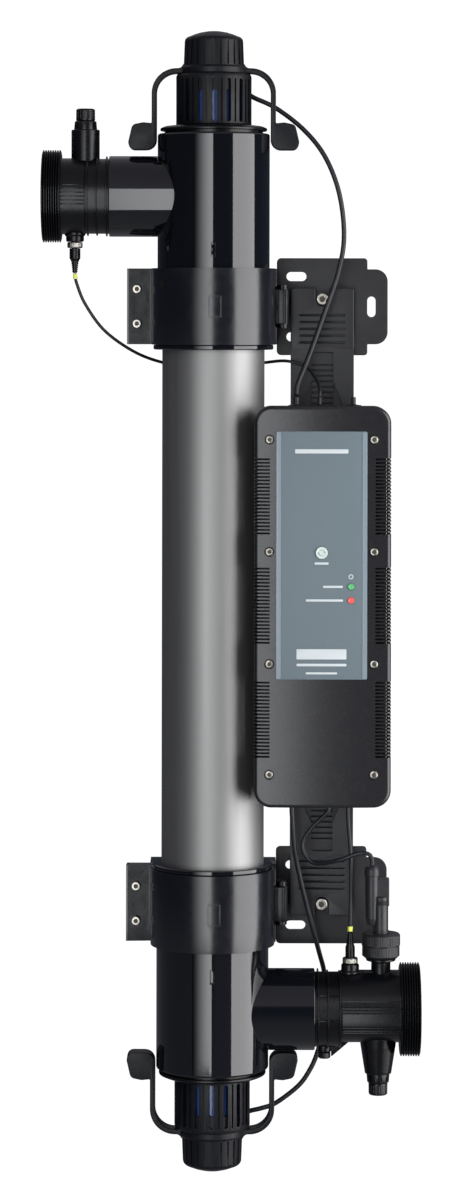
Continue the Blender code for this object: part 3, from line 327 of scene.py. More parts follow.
def make_looks():
    """One material for each finish; SLOTS names the slot of each finish that is not a slot itself."""
    return {
        "gloss_black_plastic": moulded("gloss_black", (0.0024, 0.0030, 0.0044), 0.06, 0.015, 700, 0.02),
        "strap_plastic": moulded("strap_black", (0.0038, 0.0046, 0.0066), 0.21, 0.03, 900, 0.04),
        "satin_black_plastic": moulded("satin_black", (0.0017, 0.0019, 0.0027), 0.28, 0.02, 900, 0.008,
                                       Specular_IOR_Level=0.26),
        "switch_plastic": moulded("switch_charcoal", (0.0105, 0.0108, 0.0130), 0.40, 0.05, 1500, 0.1,
                                  Specular_IOR_Level=0.35),
        # socket_shade is painted shade: a dark brownish colour on the discs set into the screws' hex sockets,
        # where shade falls.
        "socket_shade": moulded("socket_shade", (0.052, 0.041, 0.027), 0.6, 0.05, 900, 0.1),
        "charcoal_plastic": moulded("charcoal", (0.0072, 0.0075, 0.0090), 0.42, 0.03, 2600, 0.06,
                                    Specular_IOR_Level=0.35),
        "cover_plastic": moulded("cover_charcoal", (0.0085, 0.0085, 0.0100), 0.27, 0.01, 2600, 0.008, 0.03,
                                 Specular_IOR_Level=0.42),
        "cap_rubber": moulded("cap_rubber", (0.0032, 0.0037, 0.0052), 0.44, 0.05, 1800, 0.1,
                              Specular_IOR_Level=0.2),
        "seal_rubber": moulded("seal_rubber", (0.01, 0.01, 0.01), 0.6, 0.05, 1800, 0.3),
        "lead_sheath": moulded("lead_sheath", (0.0055, 0.0064, 0.0092), 0.40, 0.04, 1500, 0.06,
                               Specular_IOR_Level=0.32),
        "brushed_steel": moulded("brushed_steel", (0.212, 0.213, 0.210), 0.52, 0.03, 2600, 0.06, 0.04,
                                 (1.0, 1.0, 0.03), Metallic=1.0),
        "nickel_metal": moulded("nickel", (0.31, 0.298, 0.270), 0.33, 0.05, 1800, 0.1, 0.06, Metallic=1.0),
        "quartz": moulded("quartz", (0.90, 0.94, 0.95), 0.06, 0.02, 400, 0.02,
                          Transmission_Weight=0.9, IOR=1.46),
        "lamp_glass": moulded("lamp_glass", (0.75, 0.76, 0.80), 0.25, 0.05, 500, 0.05),
        # The blue is the sight rings' own colour; their faint blue emission is painted light, a glow that
        # brightens them in the nuts' shaded windows.
        "blue_clear": moulded("blue_clear", (0.010, 0.034, 0.155), 0.18, 0.03, 500, 0.05,
                              Emission_Color=(0.10, 0.33, 1.0, 1.0), Emission_Strength=0.02),
        "label_panel": moulded("label_slate", (0.100, 0.130, 0.146), 0.45, 0.03, 2200, 0.10, 0.02,
                               Specular_IOR_Level=0.25),
        # label_rail_painted_highlight is partly painted highlight: a lighter slate than the label, for the
        # raised strips along its long edges, standing in for light on the label's bevelled edges.
        "label_rail_painted_highlight": moulded("label_rail_painted_highlight", (0.145, 0.185, 0.215), 0.35, 0.03, 2200, 0.08, 0.03),
        "pale_plastic": moulded("pale_plastic", (0.46, 0.53, 0.49), 0.35, 0.05, 1500, 0.08, 0.03),
        "green_lens": moulded("green_lens", (0.07, 0.33, 0.11), 0.25, 0.03, 600, 0.04,
                              Emission_Color=(0.10, 0.75, 0.17, 1.0), Emission_Strength=0.06),
        "red_lens": moulded("red_lens", (0.62, 0.07, 0.06), 0.25, 0.03, 600, 0.04,
                            Emission_Color=(1.0, 0.10, 0.09, 1.0), Emission_Strength=0.15),
        "label_print": moulded("label_print", (0.42, 0.46, 0.47), 0.35, 0.03, 1800, 0.05, 0.02),
        "button_mark": moulded("button_mark", (0.24, 0.33, 0.33), 0.35, 0.03, 1800, 0.05, 0.02),
        "yellow_band": moulded("yellow_band", (0.62, 0.68, 0.09), 0.4, 0.05, 1500, 0.1, 0.08),
        "board": moulded("board", (0.02, 0.12, 0.05), 0.4, 0.05, 900, 0.2),
        "ballast_metal": moulded("ballast_paint", (0.3, 0.3, 0.31), 0.4, 0.05, 900, 0.15),
    }


# Shapes
def mesh_object(bm, name="shape"):
    mesh = bpy.data.meshes.new(name)
    bm.to_mesh(mesh)
    bm.free()
    shape = bpy.data.objects.new(name, mesh)
    bpy.context.scene.collection.objects.link(shape)
    return shape


def shape_from(bm):
    """An object from a mesh drawn in millimetres, its faces turned outwards."""
    bmesh.ops.recalc_face_normals(bm, faces=bm.faces)
    bmesh.ops.scale(bm, vec=(MM, MM, MM), verts=bm.verts)
    return mesh_object(bm)


def turned(corners, sides=ROUND, steps=4):
    """A solid turned about Z from (radius, height) corners, round a ring's section or from axis to axis."""
    outline = rounded(corners, steps)
    bm = bmesh.new()
    rings = []
    for radius, height in outline:
        angles = [math.tau * turn / sides for turn in (range(sides) if radius else range(1))]
        rings.append([bm.verts.new((radius * math.cos(a), radius * math.sin(a), height)) for a in angles])
    for index in range(0 if outline[0][0] > 0 else 1, len(rings)):
        low, high = rings[index - 1], rings[index]
        for side in range(sides):
            after = (side + 1) % sides
            corners_here = [low[side % len(low)], low[after % len(low)], high[after % len(high)],
                           high[side % len(high)]]
            bm.faces.new(dict.fromkeys(corners_here))
    return shape_from(bm)


def solid(corners, sides=ROUND, steps=4):
    """A turned solid, closed to its axis at its first and last heights."""
    return turned([(0, corners[0][1]), *corners, (0, corners[-1][1])], sides, steps)


PLACES = {
    "Z": lambda a, b, h: (a, b, h),
    "Y": lambda a, b, h: (a, h, b),
    "X": lambda a, b, h: (h, a, b),
}


def slab(outline, low, high, axis="Z"):
    """An outline extruded along an axis: (x, y) along Z, (x, z) along Y and (y, z) along X."""
    bm = bmesh.new()
    bottom = [bm.verts.new(PLACES[axis](a, b, low)) for a, b in outline]
    top = [bm.verts.new(PLACES[axis](a, b, high)) for a, b in outline]
    bm.faces.new(bottom)
    bm.faces.new(top)
    for index in range(len(outline)):
        bm.faces.new((bottom[index - 1], bottom[index], top[index], top[index - 1]))
    return shape_from(bm)


def arc(centre, radius, start, end, steps):
    angles = [math.radians(start + (end - start) * step / steps) for step in range(steps + 1)]
    return [(centre[0] + radius * math.cos(a), centre[1] + radius * math.sin(a)) for a in angles]


def rod(centre, radius, low, high, axis="Z", sides=SMALL):
    return slab(arc(centre, radius, 0, 360 - 360 / sides, sides - 1), low, high, axis)


def block(x_range, y_range, z_range):
    (x0, x1), (z0, z1) = x_range, z_range
    return slab([(x0, z0), (x1, z0), (x1, z1), (x0, z1)], *y_range, axis="Y")


def about(centre, half):
    return (centre - half, centre + half)


def span(way, low, high):
    """A range in rising order, mirrored where way is -1."""
    return tuple(sorted((way * low, way * high)))


def hexagon(radius, low, high, phase=0.0):
    return slab(arc((0, 0), radius, phase, 300 + phase, 5), low, high)


def rounded(corners, steps=8):
    """An outline's points from its corners, (x, y) where sharp and (x, y, radius) where rounded."""
    points = []
    for index, (x, y, *rounding) in enumerate(corners):
        if not rounding:
            points.append((x, y))
            continue
        here = Vector((x, y))
        radius = rounding[0]
        before = (Vector(corners[index - 1][:2]) - here).normalized()
        after = (Vector(corners[(index + 1) % len(corners)][:2]) - here).normalized()
        half = before.angle(after) / 2
        centre = here + (before + after).normalized() * (radius / math.sin(half))
        first = here + before * (radius / math.tan(half)) - centre
        last = here + after * (radius / math.tan(half)) - centre
        start = math.degrees(math.atan2(first.y, first.x))
        sweep = math.degrees(math.atan2(last.y, last.x)) - start
        sweep -= 360 * round(sweep / 360)
        points += arc(centre, radius, start, start + sweep, steps)
    return points


def rounded_rectangle(x_range, z_range, radius, steps=8):
    (x0, x1), (z0, z1) = x_range, z_range
    return rounded([(x0, z0, radius), (x1, z0, radius), (x1, z1, radius), (x0, z1, radius)], steps)


def slot_outline(centre_x, centre_z, length, width, tall=False):
    reach = (length - width) / 2
    points = arc((reach, 0), width / 2, -90, 90, 12) + arc((-reach, 0), width / 2, 90, 270, 12)
    if tall:
        points = [(-b, a) for a, b in points]
    return [(centre_x + a, centre_z + b) for a, b in points]


def evaluated(shape):
    """Bakes a shape's modifiers into its mesh."""
    result = bpy.data.meshes.new_from_object(shape.evaluated_get(bpy.context.evaluated_depsgraph_get()))
    shape.modifiers.clear()
    old = shape.data
    shape.data = result
    bpy.data.meshes.remove(old)
    return shape


def discard(shape):
    mesh = shape.data
    bpy.data.objects.remove(shape)
    bpy.data.meshes.remove(mesh)


def boolean(base, tools, operation):
    for tool in tools:
        modifier = base.modifiers.new("Boolean", "BOOLEAN")
        modifier.operation = operation
        modifier.solver = "EXACT"
        modifier.object = tool
        evaluated(base)
        discard(tool)
    return base


def joined(base, *others):
    return boolean(base, others, "UNION")


def cut(base, *cutters):
    return boolean(base, cutters, "DIFFERENCE")


def bevelled(shape, width, segments=2, angle=40):
    modifier = shape.modifiers.new("Bevel", "BEVEL")
    modifier.width = width * MM
    modifier.segments = segments
    modifier.limit_method = "ANGLE"
    modifier.angle_limit = math.radians(angle)
    modifier.use_clamp_overlap = True
    return evaluated(shape)


def rounded_block(x_range, y_range, z_range, edge):
    return bevelled(block(x_range, y_range, z_range), edge)


def gathered(shapes):
    """Several separate shapes as one object."""
    bm = bmesh.new()
    for shape in shapes:
        bm.from_mesh(shape.data)
        discard(shape)
    return mesh_object(bm)


def around(make, count, phase=0.0):
    return gathered([turned_by(make(), 360 * turn / count + phase) for turn in range(count)])


def moved(shape, x=0.0, y=0.0, z=0.0):
    shape.data.transform(shift(x, y, z))
    return shape


def turned_by(shape, degrees, axis="Z"):
    shape.data.transform(Matrix.Rotation(math.radians(degrees), 4, axis))
    return shape


def along_port(shape):
    """Turns a shape's +Z to point out of the port."""
    return turned_by(shape, -90, "Y")


def fronted(shape, x=0.0, y=0.0, z=0.0):
    """Turns a shape's +Z to the front and moves it."""
    return moved(turned_by(shape, 90, "X"), x, y, z)


def upright(x, corners, sides=ROUND, steps=4):
    """A turned upright solid on the port, x out from the chamber's axis."""
    return moved(solid(corners, sides, steps), x=-x)


def piece(name, shape, look, matrix, body, nodes=()):
    """Names and finishes a piece, puts it in its frame and lets it ride on its body."""
    shape.name = name
    shape.data.name = name
    shape.data.transform(matrix)
    shape.data.materials.clear()
    shape.data.materials.append(LOOKS[look])
    shape.data.shade_smooth()
    shape.data.set_sharp_from_angle(angle=SHARP_ANGLE)
    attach(shape, body)
    if nodes:
        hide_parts(*nodes)
    SLOTS.get(look, look)
    return shape


def stand_in(name, shape, look, matrix=WORLD):
    """A piece shown in place of the CAD node of that name."""
    return piece(name + "_look", shape, look, matrix, frame["nodes"][name]["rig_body"], (name,))


def detail(name, node_name, shape, look, matrix=WORLD):
    """An added piece that moves with a CAD node."""
    return piece(name, shape, look, matrix, frame["nodes"][node_name]["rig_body"])


def smooth_route(route, spacing):
    """Evenly spaced points on a smooth curve through the route's points."""
    knots = [Vector(point) for point in route]
    knots = [2 * knots[0] - knots[1], *knots, 2 * knots[-1] - knots[-2]]
    fine = []
    for index in range(1, len(knots) - 2):
        before, start, end, after = knots[index - 1:index + 3]
        for step in range(24):
            t = step / 24
            fine.append(0.5 * (2 * start + (end - before) * t
                               + (2 * before - 5 * start + 4 * end - after) * t ** 2
                               + (3 * start - before - 3 * end + after) * t ** 3))
    fine.append(knots[-2])
    travelled = [0.0]
    for start, end in zip(fine, fine[1:]):
        travelled.append(travelled[-1] + (end - start).length)
    count = max(2, round(travelled[-1] / spacing))
    points = []
    index = 0
    for step in range(count + 1):
        target = travelled[-1] * step / count
        while index < len(fine) - 2 and travelled[index + 1] < target:
            index += 1
        share = (target - travelled[index]) / (travelled[index + 1] - travelled[index])
        points.append(fine[index].lerp(fine[index + 1], min(share, 1.0)))
    return points, travelled[-1]


def swept(points, radius, sides=16):
    """A round tube with flat ends along a line of points."""
    bm = bmesh.new()
    rings = []
    side_way = Vector((0, 1, 0))
    for index, point in enumerate(points):
        forward = (points[min(index + 1, len(points) - 1)] - points[max(index - 1, 0)]).normalized()
        across = side_way.cross(forward).normalized()
        side_way = forward.cross(across).normalized()
        turns = [math.tau * side / sides for side in range(sides)]
        rings.append([bm.verts.new(point + radius * (across * math.cos(a) + side_way * math.sin(a)))
                     for a in turns])
    for low, high in zip(rings, rings[1:]):
        for side in range(sides):
            after = (side + 1) % sides
            bm.faces.new((low[side], low[after], high[after], high[side]))
    bm.faces.new(rings[0])
    bm.faces.new(rings[-1])
    return shape_from(bm)


# Leads
HELD_POINT = {"upper": 7, "lower": 6}  # a point on each lamp lead's route; make_leads reads it but does not use it


def make_leads():
    for name, (diameter, route) in LEADS.items():
        points, length = smooth_route(route, 0.6 * diameter)
        tube = swept(points, diameter / 2)
        end = name.rsplit("_", 1)[-1]
        on_cap = name.startswith("lamp_lead")
        if on_cap:
            tube.name = name + "_sheath"
            tube.data.materials.append(LOOKS["lead_sheath"])
            tube.data.shade_smooth()
            cap_end = Vector(route[0] if end == "upper" else route[-1]) * MM
            held = Vector(route[HELD_POINT[end]]) * MM
            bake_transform(tube)
            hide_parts(name)
        else:
            piece(name + "_sheath", tube, "lead_sheath", WORLD, "chamber", (name,))
        path = [point * MM for point in points]
        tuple(path[0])


# The chamber
def ring(inner, outer, low, high, edge, sides=ROUND):
    """A flat ring with rounded outer edges."""
    return turned([(inner, low), (outer, low, edge), (outer, high, edge), (inner, high)], sides)


def make_tube():
    low, high = tube_low.z / MM, tube_high.z / MM
    inner = TUBE_RADIUS - 1.6
    tube = turned([(inner, low), (TUBE_RADIUS, low), (TUBE_RADIUS, high), (inner, high)], 2 * FINE)
    stand_in("chamber_tube", tube, "brushed_steel", shift(AXIS_X, AXIS_Y))


def tee(end):
    reach = REACH[end]
    tube_end = -reach - TEE_LIP[1]
    lip_end = -reach - TEE_LIP[0] - GAP
    stub_end = PORTS[end]["stub"]
    top = TEE_END + LAMP_SHIFT[end]
    body = solid([
        (TEE_LIP_RADIUS, tube_end, 1.2), (TEE_LIP_RADIUS, lip_end, 0.8), (TEE_RADIUS, lip_end, 0.4),
        (TEE_RADIUS, top, 1.8)], 2 * FINE, 5)
    stub = along_port(solid([(STUB_RADIUS, 0), (STUB_RADIUS, stub_end, 1.0)], 2 * FINE, 5))
    seam_start = -reach + CLAMP_HALF - 2
    seam = block((-0.35, 0.35), (-TEE_RADIUS - 0.25, -TEE_RADIUS + 4), (seam_start, top - 1.6))
    latch_low = {"upper": -53.7, "lower": -43.0}[end]
    latch_range = (latch_low, latch_low + 12.6)
    latch = rounded_block((-1.9, 1.9), (-TEE_RADIUS - 1.1, -TEE_RADIUS + 4), latch_range, 0.5)
    joined(body, stub, seam, latch)
    notches = [block((-4, -0.9), (-TEE_RADIUS - 3, -TEE_RADIUS - 0.2), (low, low + 2.6))
               for low in (latch_low + 2.4, latch_low + 7.8)]
    socket = TUBE_RADIUS + GAP
    groove = socket + 2.0
    bore = solid([
        (socket, tube_end - 1), (socket, -reach - 1.8), (groove, -reach - 1.8), (groove, -reach + 1.8),
        (socket, -reach + 1.8), (socket, -reach + 28.3), (TEE_BORE, -reach + 28.3), (TEE_BORE, top + 1)],
        FINE)
    side_bore = along_port(solid([(STUB_BORE, 0), (STUB_BORE, 100)], FINE))
    return cut(body, bore, side_bore, *notches)


def end_flange():
    return turned([
        (15.4, 45), (TEE_BORE - GAP, 45, 0.5), (TEE_BORE - GAP, FLANGE[0]), (47.0, FLANGE[0], 0.9),
        (47.0, 59.8, 1.2), (43.0, 61.5, 3.0), (34.5, FLANGE[1], 1.5), (24.0, FLANGE[1], 0.4), (24.0, 95, 0.5),
        (19, 95), (19, 84), (15.4, 84)], FINE, 5)


NUT_FRONT = -89.0


def sleeve_nut():
    """The slotted nut: a window, then a pair of ribs with a groove between them, all the way round."""
    nut = turned([
        (NUT_BORE, NUT[0]), (NUT_RADIUS, NUT[0], 0.6), (NUT_RADIUS, NUT[1] - 2.5),
        (NUT_RADIUS - 0.9, NUT[1], 0.9), (16, NUT[1], 0.5), (16, 101), (NUT_BORE, 101)], 3 * ROUND)
    window = slot_outline(0, 78.7, 28.2, 4.2, tall=True)
    pocket = slot_outline(0, 83.6, 38.2, 4.2, tall=True)
    groove = slot_outline(0, 83.6, 38.6, 1.7, tall=True)
    half_pitch = 180 / NUT_WINDOWS
    pockets = around(lambda: slab(pocket, 30.2, 36, "X"), NUT_WINDOWS, NUT_FRONT)
    windows = around(lambda: slab(window, 26.5, 31, "X"), NUT_WINDOWS, NUT_FRONT)
    grooves = around(lambda: slab(groove, NUT_RADIUS - 1.5, 36, "X"), NUT_WINDOWS, NUT_FRONT + half_pitch)
    return cut(nut, pockets, windows, grooves)


def sight_ring():
    return ring(24.3, NUT_BORE - GAP, NUT[0] + 1, 100.5, 0.5, FINE)


def cap_arm(side):
    """A strap arm with a fillet at its root and a leaf-shaped finger tab, an outline in the X-Z plane."""
    thick, corner, outer = 4.5, 22.0, 54.6
    top = CAP[0] + 0.4 + thick
    middle = (outer - corner, top - corner)
    inside = arc(middle, corner - thick, 90, 0, 16)
    outside = arc(middle, corner, 0, 90, 16) + arc((31.5, top + 4.5), 4.5, 270, 190, 6)
    outline = rounded([
        (24, top - thick), *inside, (outer - thick, 40.8, 9), (73.6, 40.7, 5.5), (75.2, 47.5, 4),
        (71.6, 63.0, 5), (62, 65.0, 8), (outer, 64.2, 1.0), *outside, (24, top + 4.0)], 6)
    return bevelled(slab([(side * x, z) for x, z in outline], -9.0, 9.0, "Y"), 0.9, 3, 50)


def lamp_cap(lead_side):
    """A domed and fluted cap with its two strap arms, and a boss for the lead."""
    low, high = CAP
    dome_radius = 50.0
    dome = [(radius, high - dome_radius + math.sqrt(dome_radius ** 2 - radius ** 2))
            for radius in (21.5, 17, 12, 6)]
    cap = turned([
        (0, low), (CAP_BAND_RADIUS, low, 0.9), (CAP_BAND_RADIUS, low + 5.7, 0.9),
        (CAP_DOME_RADIUS + 0.1, low + 6.6, 1.2), (CAP_DOME_RADIUS - 0.9, 139.4, 4.6), *dome, (0, high)],
        2 * FINE, 6)
    boss = solid([(5.2, 20), (4.4, 27, 1), (4.4, 33.9, 0.8)], SMALL, 3)
    direction = Vector((lead_side * 18.0, 33.0, 0)).normalized()
    boss.data.transform(shift(z=116.5) @ direction.to_track_quat("Z", "Y").to_matrix().to_4x4())
    joined(cap, cap_arm(1), cap_arm(-1), boss)
    flute = slot_outline(0, 126.5, 22.5, 1.9, tall=True)
    flutes = around(lambda: slab(flute, CAP_DOME_RADIUS - 1.5, 34, "X"), 24, -92)
    return cut(cap, flutes, rod((0, 0), 12.3, low - 1, low + 24))


# The ports, upright features measured upwards in each end's own frame
THREAD_WAVE = ((0.0, 1.0), (0.14, 0.82), (0.30, 0.18), (0.42, 0.0), (0.58, 0.0), (0.70, 0.18), (0.86, 0.82))


def ridged(start, end, crest, root, ridges):
    """The outline of a union thread with round crests."""
    pitch = (end - start) / ridges
    points = []
    for index in range(ridges):
        base = start + index * pitch
        points += [(crest - depth * (crest - root), base + share * pitch) for share, depth in THREAD_WAVE]
    return [*points, (root, end)]


def thread_part(end):
    start, finish = PORTS[end]["thread"]
    profile = [(0, start), *ridged(start, finish, THREAD_RADIUS, THREAD_RADIUS - 1.9, 8), (0, finish)]
    return along_port(turned(profile, 2 * FINE))


def stem_cap_shoulder(x, top):
    """The notched shoulder on a stem, under its knob."""
    base = top - 8
    shoulder = solid([(10.2, base, 0.3), (9.5, top, 0.6)], ROUND, 3)
    notches = around(lambda: block((8.6, 12), (-0.8, 0.8), (top - 5.8, top - 1.6)), 12, 15)
    return moved(cut(shoulder, notches), x=-x)


def stem_hole(x, top):
    return upright(x, [(5.3, top - 11), (5.3, top + 4)], SMALL)


def sensor_hole(x):
    return upright(x, [(3.5, -20), (3.5, -42)], SMALL)


def stem_knob(x, stem_top):
    knob = solid([(5, -9, 0.5), (5, GAP), (8.4, GAP, 0.7), (8.25, 11, 1.6)], 2 * ROUND, 5)
    flutes = around(lambda: rod((9.15, 0), 1.15, 2, 9.2, sides=12), 20, 9)
    recess = solid([(5.6, 10.5, 0.3), (5.6, 12)], ROUND, 2)
    return moved(cut(knob, flutes, recess), x=-x, z=stem_top)


def sensor_boss(x, top):
    """The threaded boss a sensor screws into, a groove cut round its root."""
    return upright(x, [(9.2, -20), (9.2, top, 1.5), (7.9, top - 1.4, 0.8), (7.9, -38.6), (7.4, -40, 0.7)])


def sensor_ring(x):
    body = turned([
        (3.4, -45.5), (6.2, -45.5, 0.3), (6.75, -44.6, 0.3), (6.75, -41.2, 0.3), (6.2, -40.3, 0.2),
        (3.4, -40.3)], ROUND, 2)
    knurl = around(lambda: rod((7.2, 0), 0.62, -44.4, -41.4, sides=8), 30)
    return moved(cut(body, knurl), x=-x)


def sensor_plug(x, radius):
    """A sensor's probe and plug, with the ribbed relief its lead comes out of."""
    relief = []
    for step in range(6):
        outer = 3.4 - 0.2 * step
        height = -57.0 - 1.75 * step
        relief += [
            (outer, height), (outer, height - 0.9), (outer - 0.6, height - 1.1), (outer - 0.6, height - 1.6)]
    plug = upright(x, [
        (3.1, -31), (3.1, -45.8), (radius, -45.8, 0.4), (radius, -54.6, 1.2), (3.5, -56.8, 0.3), *relief,
        (2.3, -67.5)], steps=3)
    slots = around(lambda: block((radius - 0.5, 6), (-0.45, 0.45), (-53, -47.5)), 10, 18)
    return cut(plug, moved(slots, x=-x))


def pipe_bars(x_range, places, radius, protrude, height, centre=0.0):
    """Narrow bars along the front of a pipe."""
    bars = []
    for place in places:
        offset = place - centre
        front = -math.sqrt(radius ** 2 - offset ** 2) - protrude
        bars.append(rounded_block(x_range, (front, front + 4), about(place, height / 2), 0.3))
    return bars


def collar(start, root, ribs):
    """The outline of a port's collar from its spigot, with narrow ribs round it."""
    spigot = STUB_BORE - GAP
    outline = [(0, start - 20), (spigot, start - 20), (spigot, start), (root, start)]
    for place, radius in ribs:
        outline += [
            (root, place - 0.8), (radius - 0.3, place - 0.6), (radius, place - 0.3), (radius, place + 0.3),
            (radius - 0.3, place + 0.6), (root, place + 0.8)]
    return outline


def inlet_port():
    start = PORTS["upper"]["stub"] + COLLAR_GAP
    outline = collar(start, 33.0, ((94.0, 35.3), (102.5, 34.7), (110.6, 35.0)))
    outline += [(33.0, 112.4), (PORT_RADIUS, 113), (PORT_RADIUS, 135), (0, 135)]
    pipe = along_port(turned(outline, 2 * FINE))
    stem_x, sensor_x, stem_top = PORTS["upper"]["stem"], PORTS["upper"]["sensor"], STEM_TOP["upper"]
    stem = upright(stem_x, [(12.45, 24), (12.45, 58.5, 0.9)])
    bars = pipe_bars((-133.8, -113.2), (9.3, 6.2, 2.6, -0.8, -4.2, -7.6), PORT_RADIUS, 0.55, 1.1)
    joined(pipe, thread_part("upper"), stem, stem_cap_shoulder(stem_x, stem_top),
           sensor_boss(sensor_x, -34.0), *bars)
    inside = along_port(solid([(PORT_BORE, start - 25), (PORT_BORE, 160)], FINE))
    return cut(pipe, inside, stem_hole(stem_x, stem_top), sensor_hole(sensor_x))


def outlet_port():
    """The outlet pipe, set a little off its collar's centre, with its ribs, bosses and stems."""
    start = PORTS["lower"]["stub"] + COLLAR_GAP
    outline = collar(start, 32.6, ((92.6, 35.5), (101.2, 34.2), (111.6, 34.0))) + [(32.6, 113.2), (0, 113.2)]
    pipe = along_port(turned(outline, 2 * FINE))
    bore, centre, radius = 27.2, -2.4, 31.0
    body = moved(along_port(solid([(radius, 112.6), (radius, 166)], 2 * FINE)), z=centre)
    stem_x, sensor_x, stem_top = PORTS["lower"]["stem"], PORTS["lower"]["sensor"], STEM_TOP["lower"]
    stem = turned([(0, 18), (16.4, 24), (15.4, 32, 3), (12.0, 53.5, 0.6), (11.6, 56.2, 0.8), (0, 56.2)])
    flow_boss = upright(FLOW_X, [(8.5, -20), (8.5, -42.0, 0.5), (13, -43.2, 0.4), (13, -44.9, 0.4)], steps=3)
    plug_boss = upright(OUTLET_PLUG_X, [(6.4, 24), (6.4, 36.9, 0.6)], steps=3)
    joined(pipe, body, thread_part("lower"), moved(stem, x=-stem_x), stem_cap_shoulder(stem_x, stem_top),
           sensor_boss(sensor_x, -33.4), flow_boss, plug_boss)
    gusset = slab([(-104.5, 27.5), (-120, 27.5), (-120, 28.8), (-105.6, 41), (-104.5, 41)], -1.5, 1.5, "Y")
    rails = [rounded_block((-165.5, -113), (-5.2, 5.2), (-33.9, -30.5), 0.4)]
    for side in (-1, 1):
        rib = slab([(side * 9.5, 55.5), (side * 15.2, 28), (side * 9.5, 28)], -0.8, 0.8, "Y")
        rails.append(moved(rib, x=-stem_x))
    rails.append(moved(slab([(-11.4, 55.5), (-17.3, 28), (-8, 28)], -0.7, 0.7, "X"), x=-stem_x))
    run = (-165.5, -113.4)
    bars = pipe_bars(run, (-11.9, -5.9, -3.2, 11.6, 14.4, 16.4), radius, 0.5, 1.1, centre)
    panel = slab([(-31.2, -1.6), (-24, -1.6), (-24, 10.2), (-31.2, 10.2)], *run, "X")
    cross = [rounded_block((-110.8, -93.4), (front, -20), about(place, 0.5), 0.3)
             for place, front in ((-16.8, -29.4), (4.6, -33.6))]
    joined(pipe, bevelled(gusset, 0.3), *rails, bevelled(panel, 0.6, 3), *bars, *cross)
    inside = along_port(solid([(PORT_BORE, start - 25), (PORT_BORE, 110), (bore, 113), (bore, 190)], FINE))
    dark = [block((-164.5, -112.2), (-36, -29.6), z_range) for z_range in ((-10.8, -7.0), (17.4, 20.4))]
    plug_hole = upright(OUTLET_PLUG_X, [(3.3, 32.7), (3.3, 40)], SMALL)
    flow_hole = upright(FLOW_X, [(6, -20), (6, -46)], SMALL)
    return cut(pipe, inside, stem_hole(stem_x, stem_top), *dark, plug_hole, flow_hole, sensor_hole(sensor_x))


def outlet_plug():
    plug = solid([
        (3, 34.2), (3, 37.3), (4.9, 37.3, 0.4), (5.4, 38.2, 0.4), (5.4, 42.2, 0.5), (4.6, 43, 0.5)], ROUND, 3)
    flutes = around(lambda: rod((5.9, 0), 0.75, 38.4, 44, sides=10), 14)
    return moved(cut(plug, flutes), x=-OUTLET_PLUG_X)


def flow_switch_nut():
    """A knurled nut in two tiers."""
    nut = turned([
        (7.2, -67), (15.8, -67, 0.8), (17.0, -65.6, 0.8), (17.0, -56.8, 0.3), (16.5, -56.2, 0.3),
        (16.5, -47.4, 0.6), (15.4, -46.8, 0.5), (14.0, -45.2, 0.8), (7.2, -45.2)], 3 * ROUND, 3)
    upper = around(lambda: rod((17.45, 0), 0.75, -65.4, -57.4, sides=8), 64)
    lower = around(lambda: rod((17.05, 0), 0.75, -55.8, -48.0, sides=8), 64, 2.8)
    return moved(cut(nut, upper, lower), x=-FLOW_X)


def flow_switch_body():
    """The flow switch's stem with its connector block and cable elbow."""
    relief = [(6.5 - 0.35 * (step % 2), -92.0 - 1.3 * (step // 2) - 0.5 * (step % 2)) for step in range(6)]
    body = upright(FLOW_X, [
        (6.5, -99.4, 1.4), (6.5, -95.9), *reversed(relief), (6.5, -70, 0.2), (6.85, -69.5, 0.2),
        (6.85, -45.3), (5.5, -45.1), (5.5, -43.0)], 2 * ROUND, 3)
    connector = moved(bevelled(block((-7.3, 7.3), (-4.0, 6.5), (-115.2, -91)), 0.9, 3), x=-FLOW_X)
    elbow = upright(FLOW_CABLE_X, [
        (5.2, -126, 0.9), (6.8, -123.2, 0.9), (6.8, -117.2, 0.4), (6.0, -117), (6.0, -100), (5.6, -80, 1.5),
        (4.4, -74.4, 0.6)])
    web = block((-FLOW_X + 2, -FLOW_CABLE_X - 2), (-2.9, 2.4), (-112, -84))
    return joined(body, connector, elbow, bevelled(web, 0.5))


